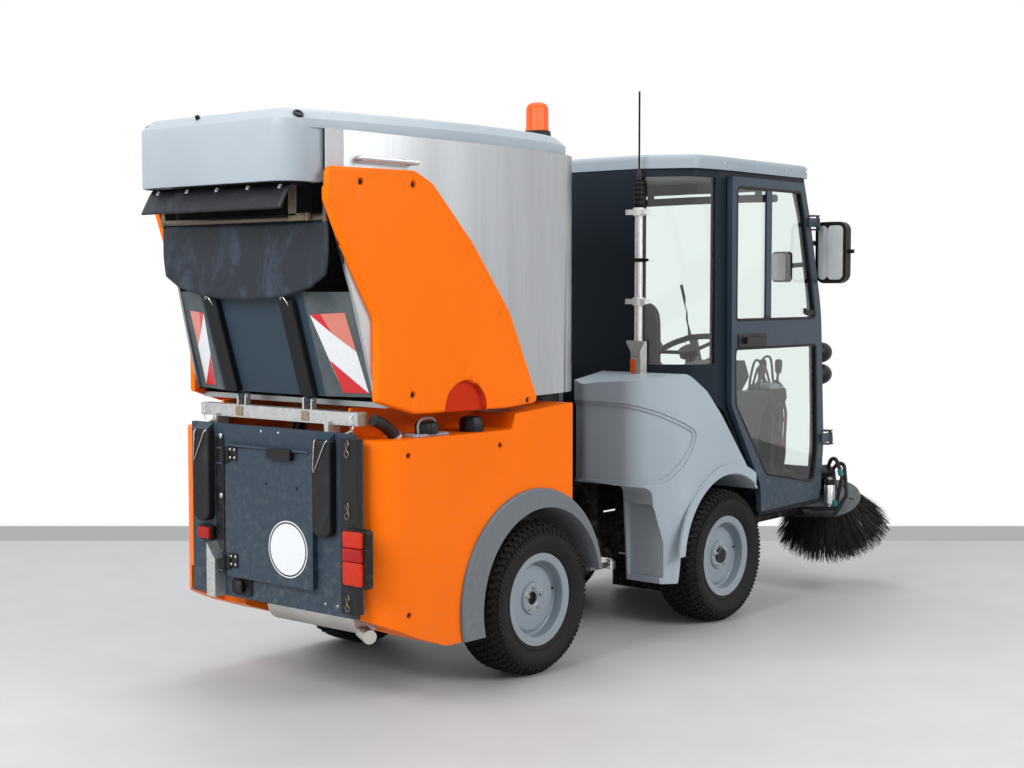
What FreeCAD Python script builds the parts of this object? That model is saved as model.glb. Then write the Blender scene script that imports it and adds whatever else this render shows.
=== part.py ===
import FreeCAD, Part
import math
import os
from types import SimpleNamespace

# Compact articulated street sweeper. Millimetres, X forward, Y left, Z up, floor at Z 0.
# All pieces are drawn with the rear axle at X 0 and then moved so that the origin lies
# under the middle of the whole machine.

V = FreeCAD.Vector
doc = FreeCAD.newDocument("street_sweeper")

# Driving dimensions

SIZES = (
    # running gear
    ("wheelbase", 1265), ("wheel_centre_y", 427), ("tyre_diameter", 568), ("tyre_width", 212),
    ("rim_seat_radius", 152), ("rim_flange_radius", 172), ("rim_width", 176), ("rim_wall", 11),
    ("rim_disc_offset", 38), ("rim_disc_thickness", 10), ("hub_radius", 58), ("hub_bore", 25),
    ("stud_circle", 44), ("stud_radius", 6), ("shaft_gap", 0.3),
    ("axle_radius", 45), ("motor_radius", 78), ("motor_inner_y", 235), ("motor_outer_y", 352),
    # chassis and pivot
    ("rail_y", 195), ("rail_width", 56), ("rail_depth", 70), ("rail_rear_x", -720),
    ("rail_front_x", 440), ("pivot_share", 632.5), ("pivot_pin_radius", 24), ("eye_radius", 58),
    ("eye_depth", 76), ("lug_thickness", 24), ("lug_gap", 5), ("neck_width", 130),
    ("front_rail_y", 150), ("front_rail_rear_x", 705), ("front_rail_front_x", 1990),
    ("lash_hole", 12), ("lash_plate", 12), ("lash_drop", 44),
    ("tow_eye_x", -762), ("tow_eye_y", 115), ("pipe_post_top", 900),
    # engine
    ("engine_length", 470), ("engine_width", 300), ("engine_height", 430), ("engine_rear_x", -730),
    # lower body
    ("body_half_width", 535), ("body_wall", 22), ("body_inner_y", 318), ("body_rear_x", -860),
    ("body_front_x", 183), ("deck_z", 928), ("deck_step_x", -186), ("deck_step_z", 984),
    ("deck_front_z", 1006), ("body_rear_foot_z", 335), ("body_foot_x", -674),
    ("body_foot_z", 254), ("body_skirt_x", -532), ("body_skirt_z", 205),
    ("body_corner_share", 0.645), ("deck_cap_inset", 65), ("notch_x", -700), ("notch_y", 440),
    ("notch_z", 420),
    ("arch_centre_x", -60), ("arch_centre_z", 300), ("arch_radius", 405),
    ("arch_inner_x", -15), ("arch_inner_z", 290), ("arch_inner_radius", 340),
    ("fender_foot_z", 205), ("fender_toe_z", 360), ("fender_proud", 15), ("fender_inner_y", 322),
    # rear frame and door
    ("frame_rear_x", -878), ("frame_thickness", 18), ("frame_half_width", 436),
    ("frame_top_z", 953), ("frame_foot_z", 338), ("door_left_y", 183), ("door_right_y", -262),
    ("door_top_z", 889), ("door_foot_z", 415), ("door_thickness", 20),
    ("door_lap", 14), ("buffer_inner_y", 270), ("buffer_outer_y", 356), ("buffer_foot_z", 602),
    ("buffer_top_z", 930), ("buffer_depth", 32), ("seat_gap", 0.3),
    ("post_inner_y", 407), ("post_outer_y", 480), ("post_foot_z", 360), ("post_top_z", 940),
    ("lamp_inner_y", 445), ("lamp_outer_y", 560), ("lamp_foot_z", 457), ("lamp_top_z", 653),
    # tipping hinge
    ("tip_axis_x", -825), ("tip_axis_z", 1052), ("bar_width", 40), ("bar_height", 44),
    ("bar_top_z", 1020), ("knuckle_y", 171), ("knuckle_radius", 14),
    ("tip_pin_radius", 7), ("lug_radius", 11), ("wall_lift", 17), ("bar_left_y", 383), ("bar_right_y", -425),
    # hopper
    ("hopper_half_width", 512), ("hopper_wall", 12), ("hopper_floor", 18), ("hopper_foot_z", 1038),
    ("hopper_top_z", 1934), ("hopper_front_x", 445), ("hopper_curve_x", -300),
    ("hopper_mouth_x", -1042), ("hopper_mouth_z", 1700), ("hopper_corner_x", 215),
    ("hopper_corner_y", 455), ("hopper_nose_x", 420), ("hopper_nose_y", 250),
    ("lid_top_z", 2000), ("lid_lap", 7), ("lid_rear_x", -1200), ("lid_corner_radius", 120),
    ("lid_wall", 18), ("hood_foot_z", 1760), ("lid_round", 22),
    ("wall_rear_x", -836), ("wall_side_x", -782), ("wall_bevel_y", 265), ("wall_side_y", 425),
    ("wall_thickness", 18), ("wall_lean", 105), ("wall_top_z", 1420),
    ("guide_y", 195), ("guide_width", 66), ("guide_depth", 26), ("guide_top_z", 1392),
    ("fairing_half_width", 541), ("fairing_gap", 0.3),
    ("apron_x", -972), ("apron_half_width", 420), ("apron_top_z", 1650), ("apron_foot_z", 1390),
    ("apron_corner", 100), ("apron_thickness", 8),
    ("strip_half_width", 360), ("strip_foot_z", 1684), ("strip_lean", 50), ("strip_thickness", 8),
    # cab
    ("cab_rear_x", 930), ("cab_rear_inset", 230), ("cab_bend_x", 1040), ("cab_bend_inset", 25),
    ("cab_half_width", 515), ("cab_side_x", 1180), ("cab_wall", 28), ("cab_foot_z", 430),
    ("cab_top_z", 1930), ("cab_front_top_x", 1891), ("cab_front_mid_x", 2020),
    ("cab_front_mid_z", 1460), ("cab_front_low_x", 2082), ("cab_front_low_z", 724),
    ("cab_front_foot_x", 2050), ("roof_top_z", 1988), ("roof_lap", 14), ("roof_front_x", 1962),
    ("tub_half_width", 296), ("tub_front_x", 1532), ("tub_step_x", 1560), ("tub_rear_foot_z", 640),
    ("door_rear_x", 1245), ("door_knee_z", 934), ("door_heel_x", 1492), ("door_heel_z", 572),
    ("door_sill_x", 1500), ("door_sill_z", 452), ("cab_door_top_z", 1905), ("door_bar", 42),
    ("cab_door_thickness", 26), ("rail_low_z", 1174), ("rail_high_z", 1297),
    ("hinge_top_x", 1955), ("hinge_top_z", 1730), ("hinge_low_x", 2095), ("hinge_low_z", 740),
    ("hinge_proud", 39), ("mirror_x", 1992), ("glass_thickness", 6),
    # tanks and mudguards
    ("tank_half_width", 540), ("tank_rear_x", 700), ("tank_round_x", 1050), ("tank_inner_y", 112),
    ("tank_top_z", 1083), ("tank_bend_x", 1040), ("tank_bend_z", 1010), ("tank_tip_x", 1475),
    ("tank_tip_z", 567), ("tank_foot_z", 625), ("guard_rear_x", 838), ("guard_foot_z", 215),
    ("guard_inner_y", 300), ("front_arch_radius", 342), ("front_arch_x", 1250),
    ("front_arch_z", 296), ("arch_lip", 46), ("arch_lip_proud", 9), ("recess_depth", 13),
    # seat and controls
    ("seat_x", 1330), ("seat_z", 900), ("seat_width", 470), ("seat_depth", 460),
    ("wheel_radius", 170), ("column_x", 1740), ("column_z", 1130),
    # brushes
    ("brush_x", 2315), ("brush_y", 452), ("brush_radius", 282), ("brush_tip_z", 272),
    ("bristle_length", 175), ("plate_radius", 148), ("plate_thickness", 16),
    ("brush_tilt", 28), ("brush_roll", 8), ("tufts", 26), ("arm_pivot_x", 1755),
    ("arm_pivot_y", 330), ("arm_pivot_z", 372), ("arm_radius", 24),
    # suction
    ("nozzle_x", 1640), ("nozzle_length", 200), ("nozzle_width", 620), ("nozzle_height", 150),
    ("nozzle_gap", 25), ("nozzle_wall", 12), ("pipe_radius", 78), ("pipe_level_z", 532),
    ("pipe_split_z", 700), ("pipe_top_z", 1132), ("pipe_bend", 135), ("pipe_rear_x", 451),
    # cylinders
    ("ram_y", 262), ("ram_base_x", -600), ("ram_base_z", 452), ("ram_eye_x", -450),
    ("ram_eye_z", 1012), ("ram_radius", 26), ("ram_rod_radius", 14),
    ("steer_base_x", 330), ("steer_base_y", -190), ("steer_eye_x", 880), ("steer_eye_y", -185),
    ("steer_z", 262), ("steer_radius", 22), ("steer_rod_radius", 12),
)

sheet = doc.addObject("Spreadsheet::Sheet", "dims")
for row, (alias, value) in enumerate(SIZES, 1):
    sheet.set("A%d" % row, alias)
    sheet.set("B%d" % row, str(value))
    sheet.setAlias("B%d" % row, alias)
doc.recompute()
D = SimpleNamespace(**{alias: float(sheet.get(alias)) for alias, value in SIZES})

# Places worked out from the driving dimensions
AXLE_Z = D.tyre_diameter / 2
RAIL_Z = AXLE_Z + D.axle_radius + 6
PIVOT_X = D.pivot_share
CAB_REAR_HALF = D.cab_half_width - D.cab_rear_inset
CAB_BEND_Y = D.cab_half_width - D.cab_bend_inset
CORNER_RADIUS = D.body_corner_share * (D.body_half_width - D.body_inner_y)
TILT = math.radians(D.brush_tilt)
ROLL = math.radians(D.brush_roll)
BRUSH_AXIS = V(-math.sin(TILT), -math.sin(ROLL) * math.cos(TILT), math.cos(TILT) * math.cos(ROLL))
BRUSH_AXIS.normalize()
FRONT_END = D.brush_x + D.brush_radius * math.sqrt(1 - BRUSH_AXIS.x ** 2)
ORIGIN_X = (FRONT_END + D.lid_rear_x) / 2
SHIFT = FreeCAD.Placement(V(-ORIGIN_X, 0, 0), FreeCAD.Rotation())
made = []


# Helpers

def keep(obj, label, placement=SHIFT):
    """Register an object as a sub-part of the machine, with its label and place."""
    obj.Label = label
    obj.Placement = placement
    made.append(obj)
    return obj


def outline(points):
    """Lines and arcs of a closed outline in a plane.
    A point is (u, v), (u, v, corner radius) or (u, v, "via", mid_u, mid_v)."""
    n = len(points)
    spans = []
    for i, point in enumerate(points):
        corner = V(point[0], point[1], 0)
        if len(point) != 3:
            spans.append((corner, corner, None))
            continue
        before = V(points[i - 1][0], points[i - 1][1], 0)
        after = V(points[(i + 1) % n][0], points[(i + 1) % n][1], 0)
        back = (before - corner).normalize()
        ahead = (after - corner).normalize()
        half = back.getAngle(ahead) / 2
        reach = point[2] / math.tan(half)
        middle = corner + (back + ahead).normalize() * (point[2] / math.sin(half) - point[2])
        spans.append((corner + back * reach, corner + ahead * reach, middle))
    edges = []
    for i, point in enumerate(points):
        start, end, middle = spans[i]
        previous = spans[i - 1][1]
        if len(point) == 5:
            edges.append(Part.Arc(previous, V(point[3], point[4], 0), start))
        elif (start - previous).Length > 1e-6:
            edges.append(Part.LineSegment(previous, start))
        if middle is not None:
            edges.append(Part.Arc(start, middle, end))
    return edges


def body(label, placement=SHIFT):
    """A new body that is a sub-part by itself."""
    return keep(doc.addObject("PartDesign::Body", label), label, placement)


def inner_body(name):
    """A new body that becomes one piece of a sub-part."""
    return doc.addObject("PartDesign::Body", name)


def sketch(owner, role, points=(), offset=0.0, circles=()):
    """A sketch on one of the body's own origin planes, moved along the plane's normal."""
    plane = [f for f in owner.Origin.OriginFeatures if f.Role == role][0]
    drawn = owner.newObject("Sketcher::SketchObject", "outline")
    drawn.AttachmentSupport = [(plane, "")]
    drawn.MapMode = "FlatFace"
    drawn.AttachmentOffset = FreeCAD.Placement(V(0, 0, offset), FreeCAD.Rotation())
    if points:
        drawn.addGeometry(outline(points), False)
    for u, v, radius in circles:
        drawn.addGeometry(Part.Circle(V(u, v, 0), V(0, 0, 1), radius), False)
    return drawn


def pad(owner, drawn, length, flipped=False, both=False, direction=None):
    """A pad; the length is an expression on the sheet."""
    feature = owner.newObject("PartDesign::Pad", "pad")
    feature.Profile = drawn
    feature.setExpression("Length", length)
    feature.Reversed = flipped
    feature.SideType = "Symmetric" if both else "One side"
    if direction is not None:
        feature.UseCustomVector = True
        feature.Direction = direction
        feature.AlongSketchNormal = True
    doc.recompute()
    return feature


def pocket(owner, drawn, length, flipped=False, both=False):
    """A pocket; the length is an expression on the sheet."""
    before = owner.Shape.Volume
    feature = owner.newObject("PartDesign::Pocket", "pocket")
    feature.Profile = drawn
    feature.setExpression("Length", length)
    feature.Reversed = flipped
    feature.SideType = "Symmetric" if both else "One side"
    doc.recompute()
    if owner.Shape.Volume > before - 1:
        raise RuntimeError("pocket in %s removes nothing" % owner.Label)
    return feature


def turned(owner, drawn):
    """A full revolution about the sketch's upright axis."""
    feature = owner.newObject("PartDesign::Revolution", "revolution")
    feature.Profile = drawn
    feature.ReferenceAxis = (drawn, ["V_Axis"])
    feature.Angle = 360
    doc.recompute()
    return feature


def rounded(owner, radius, chosen):
    """Fillets on the edges that the rule picks."""
    base = owner.Tip
    names = ["Edge%d" % (i + 1) for i, edge in enumerate(base.Shape.Edges) if chosen(edge)]
    feature = owner.newObject("PartDesign::Fillet", "fillet")
    feature.Base = (base, names)
    feature.Radius = radius
    doc.recompute()
    return feature


def box(x0, y0, z0, x1, y1, z1):
    """A box between two corners."""
    block = doc.addObject("Part::Box", "block")
    block.Length = x1 - x0
    block.Width = y1 - y0
    block.Height = z1 - z0
    block.Placement.Base = V(x0, y0, z0)
    return block


def rod(start, end, radius, bore=0.0):
    """A round bar or tube between two points."""
    start, end = V(*start), V(*end)
    bar = doc.addObject("Part::Cylinder", "bar")
    bar.Radius = radius
    bar.Height = (end - start).Length
    bar.Placement = FreeCAD.Placement(start, FreeCAD.Rotation(V(0, 0, 1), end - start))
    if not bore:
        return bar
    hole = doc.addObject("Part::Cylinder", "hole")
    hole.Radius = bore
    hole.Height = bar.Height
    hole.Placement = bar.Placement
    return cut(bar, [hole])


def fuse(items):
    """One solid from several that meet."""
    joined = doc.addObject("Part::MultiFuse", "joined")
    joined.Shapes = items
    joined.Refine = True
    return joined


def cut(base, tools):
    """The base with the tools taken out."""
    result = doc.addObject("Part::Cut", "cut")
    result.Base = base
    result.Tool = tools[0] if len(tools) == 1 else fuse(tools)
    return result


def common(first, second):
    """What two shapes share."""
    result = doc.addObject("Part::MultiCommon", "shared")
    result.Shapes = [first, second]
    return result


def together(items):
    """Like pieces on one carrier, which don't touch."""
    group = doc.addObject("Part::Compound", "group")
    group.Links = items
    return group


def lash_eye(x, side, rail_y):
    """A lashing plate with a round hole, hung below a rail."""
    y0 = side * rail_y - D.lash_plate / 2
    z = RAIL_Z - D.lash_drop / 2
    plate = fuse([box(x - 26, y0, z, x + 26, y0 + D.lash_plate, RAIL_Z - D.seat_gap),
                  rod((x, y0, z), (x, y0 + D.lash_plate, z), 26)])
    return cut(plate, [rod((x, y0 - 5, z), (x, y0 + D.lash_plate + 5, z), D.lash_hole)])


def prism(points, axis, start, end):
    """A straight prism of an outline along X, Y or Z, for booleans."""
    wire = Part.Wire([edge.toShape() for edge in outline(points)])
    face = Part.Face(wire)
    turn = {"z": FreeCAD.Rotation(), "y": FreeCAD.Rotation(V(1, 0, 0), 90),
            "x": FreeCAD.Rotation(V(1, 1, 1), 120)}[axis]
    move = {"z": V(0, 0, start), "y": V(0, start, 0), "x": V(start, 0, 0)}[axis]
    way = {"z": V(0, 0, end - start), "y": V(0, end - start, 0), "x": V(end - start, 0, 0)}[axis]
    face.Placement = FreeCAD.Placement(move, turn)
    solid = doc.addObject("Part::Feature", "prism")
    solid.Shape = face.extrude(way)
    return solid


def hose(points, radius, bend):
    """A round hose or pipe through points, with round bends at the corners."""
    corners = [V(*point) for point in points]
    edges = []
    start = corners[0]
    for before, corner, after in zip(corners, corners[1:], corners[2:]):
        back = (before - corner).normalize()
        ahead = (after - corner).normalize()
        half = back.getAngle(ahead) / 2
        reach = bend / math.tan(half)
        middle = corner + (back + ahead).normalize() * (bend / math.sin(half) - bend)
        edges.append(Part.makeLine(start, corner + back * reach))
        start = corner + ahead * reach
        edges.append(Part.Arc(corner + back * reach, middle, start).toShape())
    edges.append(Part.makeLine(start, corners[-1]))
    spine = doc.addObject("Part::Feature", "spine")
    spine.Shape = Part.Wire(edges)
    ring = doc.addObject("Part::Circle", "ring")
    ring.Radius = radius
    ring.Placement = FreeCAD.Placement(corners[0], FreeCAD.Rotation(V(0, 0, 1), corners[1] - corners[0]))
    swept = doc.addObject("Part::Sweep", "hose")
    swept.Sections = [ring]
    swept.Spine = (spine, ["Edge%d" % (i + 1) for i in range(len(edges))])
    swept.Solid = True
    return swept


def mirrored(source, label):
    """The left-hand twin of a right-hand piece."""
    twin = doc.addObject("Part::Mirroring", label)
    twin.Source = source
    twin.Normal = V(0, 1, 0)
    twin.Base = V(0, 0, 0)
    twin.Label = label
    made.append(twin)
    return twin


def pair(source, label):
    """A right-hand piece and its left-hand twin in one sub-part."""
    twin = doc.addObject("Part::Mirroring", "twin")
    twin.Source = source
    twin.Normal = V(0, 1, 0)
    twin.Base = V(0, 0, 0)
    return keep(together([source, twin]), label)


def flip(points):
    """The same plan outline on the other side of the middle plane."""
    result = []
    for point in reversed(points):
        result.append((point[0], -point[1]) + tuple(point[2:]))
    return result


def along_y(edge, y=None):
    """An edge that runs along Y, or that lies at one Y."""
    ends = [v.Point for v in edge.Vertexes]
    if y is not None:
        box_edge = edge.BoundBox
        return abs(box_edge.YMin - y) < 0.01 and abs(box_edge.YMax - y) < 0.01
    return len(ends) == 2 and abs(ends[0].x - ends[1].x) < 0.01 and abs(ends[0].z - ends[1].z) < 0.01


# Wheels

def rim(label, x, side, capped):
    """A pressed steel wheel with its hub ring and studs, dish side outwards."""
    seat, flange, wall = D.rim_seat_radius, D.rim_flange_radius, D.rim_wall
    half, disc = D.rim_width / 2, D.rim_disc_offset
    thick, lip = D.rim_disc_thickness, 6
    turn = FreeCAD.Rotation(V(0, 0, 1), 0 if side > 0 else 180)
    place = FreeCAD.Placement(V(x - ORIGIN_X, side * D.wheel_centre_y, AXLE_Z), turn)
    wheel = body(label, place)
    profile = sketch(wheel, "XY_Plane", [
        (D.hub_bore, disc - 22), (D.hub_radius - 8, disc - 22), (D.hub_radius - 8, disc),
        (seat - wall - 26, disc - 8, 12), (seat - wall, disc - 26, 8), (seat - wall, -half + 4, 8),
        (flange, -half), (flange, -half + lip), (seat, -half + lip + 2), (seat, half - lip - 2),
        (flange, half - lip), (flange, half), (seat - wall, half - 4, 6),
        (seat - wall, disc + thick - 14, 8), (seat - wall - 22, disc + thick - 2, 12),
        (D.hub_radius + 4, disc + thick), (D.hub_radius, disc + thick + 8),
        (D.hub_bore + 10, disc + thick + 10, 3), (D.hub_bore, disc + thick + 4)])
    turned(wheel, profile)
    circles = []
    for k in range(5):
        angle = math.radians(90 + 72 * k)
        circles.append((D.stud_circle * math.cos(angle), D.stud_circle * math.sin(angle), D.stud_radius))
    studs = sketch(wheel, "XZ_Plane", offset=-(disc + thick - 2), circles=circles)
    pad(wheel, studs, "dims.rim_disc_thickness + 14", flipped=True)
    if capped:
        cap = sketch(wheel, "XZ_Plane", offset=-(disc + thick - 1), circles=[(0, 0, D.hub_bore + 6)])
        pad(wheel, cap, "dims.rim_disc_thickness + 12", flipped=True)
    return wheel


def tyre(label, x, side):
    """A low-pressure tyre with round shoulders, seated between the rim's flanges."""
    place = FreeCAD.Placement(V(x - ORIGIN_X, side * D.wheel_centre_y, AXLE_Z), FreeCAD.Rotation())
    rubber = body(label, place)
    seat, flange, half = D.rim_seat_radius, D.rim_flange_radius, D.rim_width / 2
    wide, outer = D.tyre_width / 2, D.tyre_diameter / 2
    right = [(seat, half - 8), (flange, half - 6), (flange + 6, half + 2, 5), (flange + 30, wide - 2, 20),
             (outer - 42, wide, 40), (outer - 16, wide - 12, 14), (outer - 3, wide - 34, 20)]
    left = [(p[0], -p[1]) + tuple(p[2:]) for p in reversed(right)]
    turned(rubber, sketch(rubber, "XY_Plane", right + [(outer, 0, 900)] + left))
    return rubber


for end, x in (("rear", 0.0), ("front", D.wheelbase)):
    for name, side in (("right", -1), ("left", 1)):
        rim("rim_%s_%s" % (end, name), x, side, end == "front")
        tyre("tyre_%s_%s" % (end, name), x, side)


# Axles

def axle(label, x, rail_y):
    """A dead axle with a hub motor at each end and saddles under the rails."""
    stub = D.hub_bore - D.shaft_gap
    reach = D.wheel_centre_y + D.rim_disc_offset + 2
    items = [rod((x, -D.motor_outer_y, AXLE_Z), (x, D.motor_outer_y, AXLE_Z), D.axle_radius)]
    for side in (-1, 1):
        items.append(rod((x, side * D.motor_inner_y, AXLE_Z), (x, side * D.motor_outer_y, AXLE_Z),
                         D.motor_radius))
        items.append(rod((x, side * D.motor_outer_y, AXLE_Z), (x, side * reach, AXLE_Z), stub))
        saddle_y = side * rail_y
        items.append(box(x - 60, saddle_y - 26, AXLE_Z, x + 60, saddle_y + 26, RAIL_Z))
    return keep(fuse(items), label)


axle("rear_axle", 0.0, D.rail_y)
axle("front_axle", D.wheelbase, D.front_rail_y)


# Rear chassis with the upper and lower pivot lugs

RAIL_TOP = RAIL_Z + D.rail_depth
EYE_Z = RAIL_Z + D.rail_depth / 2
LUG_INNER = D.eye_depth / 2 + D.lug_gap
LUG_OUTER = LUG_INNER + D.lug_thickness
NECK_FRONT = PIVOT_X - D.eye_radius - 14

gap = D.seat_gap
web = D.rail_y - D.rail_width / 2 - gap
members = []
for side in (-1, 1):
    centre = side * D.rail_y
    members.append(box(D.rail_rear_x, centre - D.rail_width / 2, RAIL_Z,
                       D.rail_front_x, centre + D.rail_width / 2, RAIL_TOP))
    ram_pin = rod((D.ram_base_x, centre, D.ram_base_z),
                  (D.ram_base_x, side * (D.ram_y + D.ram_radius + 8), D.ram_base_z), 12)
    ram_foot = box(D.ram_base_x - 30, centre - 14, RAIL_TOP + gap,
                   D.ram_base_x + 30, centre + 14, D.ram_base_z + 26)
    members.append(fuse([ram_pin, ram_foot]))
    members.append(box(D.rail_front_x - 45, centre - 18, RAIL_TOP + gap,
                       D.rail_front_x - 5, centre + 18, D.pipe_post_top - 40 - gap))
for x in (D.rail_rear_x, -330.0, 250.0):
    members.append(box(x, -web, RAIL_Z + 6, x + 60, web, RAIL_TOP - 6))

# Fork of the pivot
fork = [box(D.rail_front_x - 60, -web, RAIL_Z + 6, D.rail_front_x, web, RAIL_TOP - 6),
        box(D.rail_front_x - 60, -D.neck_width / 2, EYE_Z - LUG_OUTER,
            NECK_FRONT, D.neck_width / 2, EYE_Z + LUG_OUTER)]
for low, high in ((-LUG_OUTER, -LUG_INNER), (LUG_INNER, LUG_OUTER)):
    fork.append(box(NECK_FRONT - 20, -D.eye_radius, EYE_Z + low, PIVOT_X, D.eye_radius, EYE_Z + high))
    fork.append(rod((PIVOT_X, 0, EYE_Z + low), (PIVOT_X, 0, EYE_Z + high), D.eye_radius))
fork.append(rod((PIVOT_X, 0, EYE_Z - LUG_OUTER - 8), (PIVOT_X, 0, EYE_Z + LUG_OUTER + 8),
                D.pivot_pin_radius))
members.append(fuse(fork))

# Bracket and pin of the steering ram, below the right-hand rail
members.append(fuse([
    box(D.steer_base_x - 26, D.steer_base_y - 24, D.steer_z + 28,
        D.steer_base_x + 26, D.steer_base_y + 24, RAIL_Z - gap),
    rod((D.steer_base_x, D.steer_base_y, D.steer_z - 30),
        (D.steer_base_x, D.steer_base_y, D.steer_z + 30), 11)]))

# Towing eye below the rearmost member
tow_top = RAIL_Z + 6 - gap
tow_low = tow_top - D.lash_plate
tow_plate = fuse([
    rod((D.tow_eye_x, D.tow_eye_y, tow_low), (D.tow_eye_x, D.tow_eye_y, tow_top), 28),
    box(D.tow_eye_x, D.tow_eye_y - 28, tow_low, D.rail_rear_x + 56, D.tow_eye_y + 28, tow_top)])
members.append(cut(tow_plate, [rod((D.tow_eye_x, D.tow_eye_y, tow_low - 5),
                                   (D.tow_eye_x, D.tow_eye_y, tow_top + 5), D.lash_hole)]))

# Carrier of the suction pipe above the pivot
ring_low, ring_high = D.pipe_post_top - 34, D.pipe_post_top - 6
carrier = fuse([
    box(D.rail_front_x - 45, -D.rail_y - 18, D.pipe_post_top - 40,
        D.rail_front_x - 5, D.rail_y + 18, D.pipe_post_top),
    box(D.rail_front_x - 10, -30, ring_low, PIVOT_X - D.pipe_radius + 10, 30, ring_high),
    rod((PIVOT_X, 0, ring_low), (PIVOT_X, 0, ring_high), D.pipe_radius + 8)])
members.append(cut(carrier, [rod((PIVOT_X, 0, 800), (PIVOT_X, 0, 960), D.pipe_radius)]))
keep(together(members), "rear_chassis")

engine = body("engine_block")
half = D.engine_width / 2
front = D.engine_rear_x + D.engine_length
plan = [(D.engine_rear_x, -half, 20), (front, -half, 20), (front, half, 20), (D.engine_rear_x, half, 20)]
pad(engine, sketch(engine, "XY_Plane", plan, RAIL_TOP - 6), "dims.engine_height")


# Lower body panels

def lower_panel():
    """A moulded side panel with its deck, rear corner and wheel arch, open to the inside."""
    wall = D.body_wall
    deep = math.sqrt(D.arch_radius ** 2 - (D.arch_centre_z - D.body_skirt_z) ** 2)
    rise = math.sqrt(D.arch_radius ** 2 - (D.body_front_x - D.arch_centre_x) ** 2)
    crown = D.arch_centre_z + D.arch_radius
    outer = [(D.body_rear_x, D.body_rear_foot_z), (D.body_rear_x, D.deck_z, 14),
             (D.deck_step_x, D.deck_z, 12), (D.deck_step_x + 22, D.deck_step_z, 14),
             (D.body_front_x, D.deck_front_z, 16), (D.body_front_x, D.arch_centre_z + rise),
             (D.arch_centre_x - deep, D.body_skirt_z, "via", D.arch_centre_x, crown),
             (D.body_skirt_x, D.body_skirt_z), (D.body_foot_x, D.body_foot_z, 60)]
    big = D.arch_radius + wall
    in_front = D.body_front_x - wall
    in_rise = math.sqrt(big ** 2 - (in_front - D.arch_centre_x) ** 2)
    in_foot = D.body_skirt_z + wall
    in_deep = math.sqrt(big ** 2 - (D.arch_centre_z - in_foot) ** 2)
    inner = [(D.body_rear_x + wall, D.body_rear_foot_z + wall + 10), (D.body_rear_x + wall, D.deck_z - wall),
             (D.deck_step_x + wall, D.deck_z - wall), (D.deck_step_x + wall + 16, D.deck_step_z - wall),
             (in_front, D.deck_front_z - wall), (in_front, D.arch_centre_z + in_rise),
             (D.arch_centre_x - in_deep, in_foot, "via", D.arch_centre_x, D.arch_centre_z + big),
             (D.body_skirt_x, in_foot), (D.body_foot_x, D.body_foot_z + wall, 60)]
    outer_plan = [(D.body_front_x, -D.body_inner_y), (D.body_rear_x, -D.body_inner_y),
                  (D.body_rear_x, -D.body_half_width, CORNER_RADIUS),
                  (D.body_front_x, -D.body_half_width, 24)]
    inner_plan = [(in_front, -D.body_inner_y + 5), (D.body_rear_x + wall, -D.body_inner_y + 5),
                  (D.body_rear_x + wall, -D.body_half_width + wall, CORNER_RADIUS - wall),
                  (in_front, -D.body_half_width + wall, 6)]
    skin = common(prism(outer, "y", -D.body_half_width, -D.body_inner_y), prism(outer_plan, "z", 100, 1100))
    hollow = common(prism(inner, "y", -D.body_half_width, -D.body_inner_y + 5),
                    prism(inner_plan, "z", 100, 1100))
    drum_notch = box(D.body_rear_x - 40, -D.notch_y, D.body_skirt_z, D.notch_x, -D.body_inner_y + 20,
                     D.notch_z)
    screws = [rod((x, -D.body_half_width - 1, z), (x, -D.body_half_width + 7, z), 11)
              for x, z in ((-718, 876), (-718, 339), (-250, 876))]
    return cut(skin, [hollow, drum_notch] + screws)


pair(lower_panel(), "body_panels")

foot = math.sqrt(D.arch_radius ** 2 - (D.arch_centre_z - D.fender_foot_z) ** 2)
toe = math.sqrt(D.arch_radius ** 2 - (D.fender_toe_z - D.arch_centre_z) ** 2)
in_foot = math.sqrt(D.arch_inner_radius ** 2 - (D.arch_inner_z - D.fender_foot_z) ** 2)
in_toe = math.sqrt(D.arch_inner_radius ** 2 - (D.fender_toe_z - D.arch_inner_z) ** 2)
fender_points = [
    (D.arch_inner_x + in_toe, D.fender_toe_z), (D.arch_centre_x + toe, D.fender_toe_z),
    (D.arch_centre_x - foot, D.fender_foot_z, "via", D.arch_centre_x, D.arch_centre_z + D.arch_radius),
    (D.arch_inner_x - in_foot, D.fender_foot_z),
    (D.arch_inner_x + in_toe, D.fender_toe_z, "via", D.arch_inner_x, D.arch_inner_z + D.arch_inner_radius)]
fender = inner_body("fender")
pad(fender, sketch(fender, "XZ_Plane", fender_points[1:],
                   D.body_half_width + D.fender_proud),
    "dims.body_half_width + dims.fender_proud - dims.fender_inner_y", flipped=True)
rounded(fender, 8, lambda e: along_y(e, -D.body_half_width - D.fender_proud)
        and isinstance(e.Curve, Part.Circle) and abs(e.Curve.Radius - D.arch_radius) < 1)
pair(fender, "fenders")


# Rear frame, buffers and door

portal = inner_body("portal")
edge = D.frame_half_width
pad(portal, sketch(portal, "YZ_Plane", [
    (-edge, D.frame_foot_z), (edge - 40, D.frame_foot_z), (edge - 40, D.frame_top_z), (-edge, D.frame_top_z)],
    D.frame_rear_x), "dims.frame_thickness")
pocket(portal, sketch(portal, "YZ_Plane", [
    (D.door_right_y + D.door_lap, D.door_foot_z + D.door_lap),
    (D.door_left_y - D.door_lap, D.door_foot_z + D.door_lap),
    (D.door_left_y - D.door_lap, D.door_top_z - D.door_lap),
    (D.door_right_y + D.door_lap, D.door_top_z - D.door_lap)],
    D.frame_rear_x), "dims.frame_thickness", flipped=True)

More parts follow.
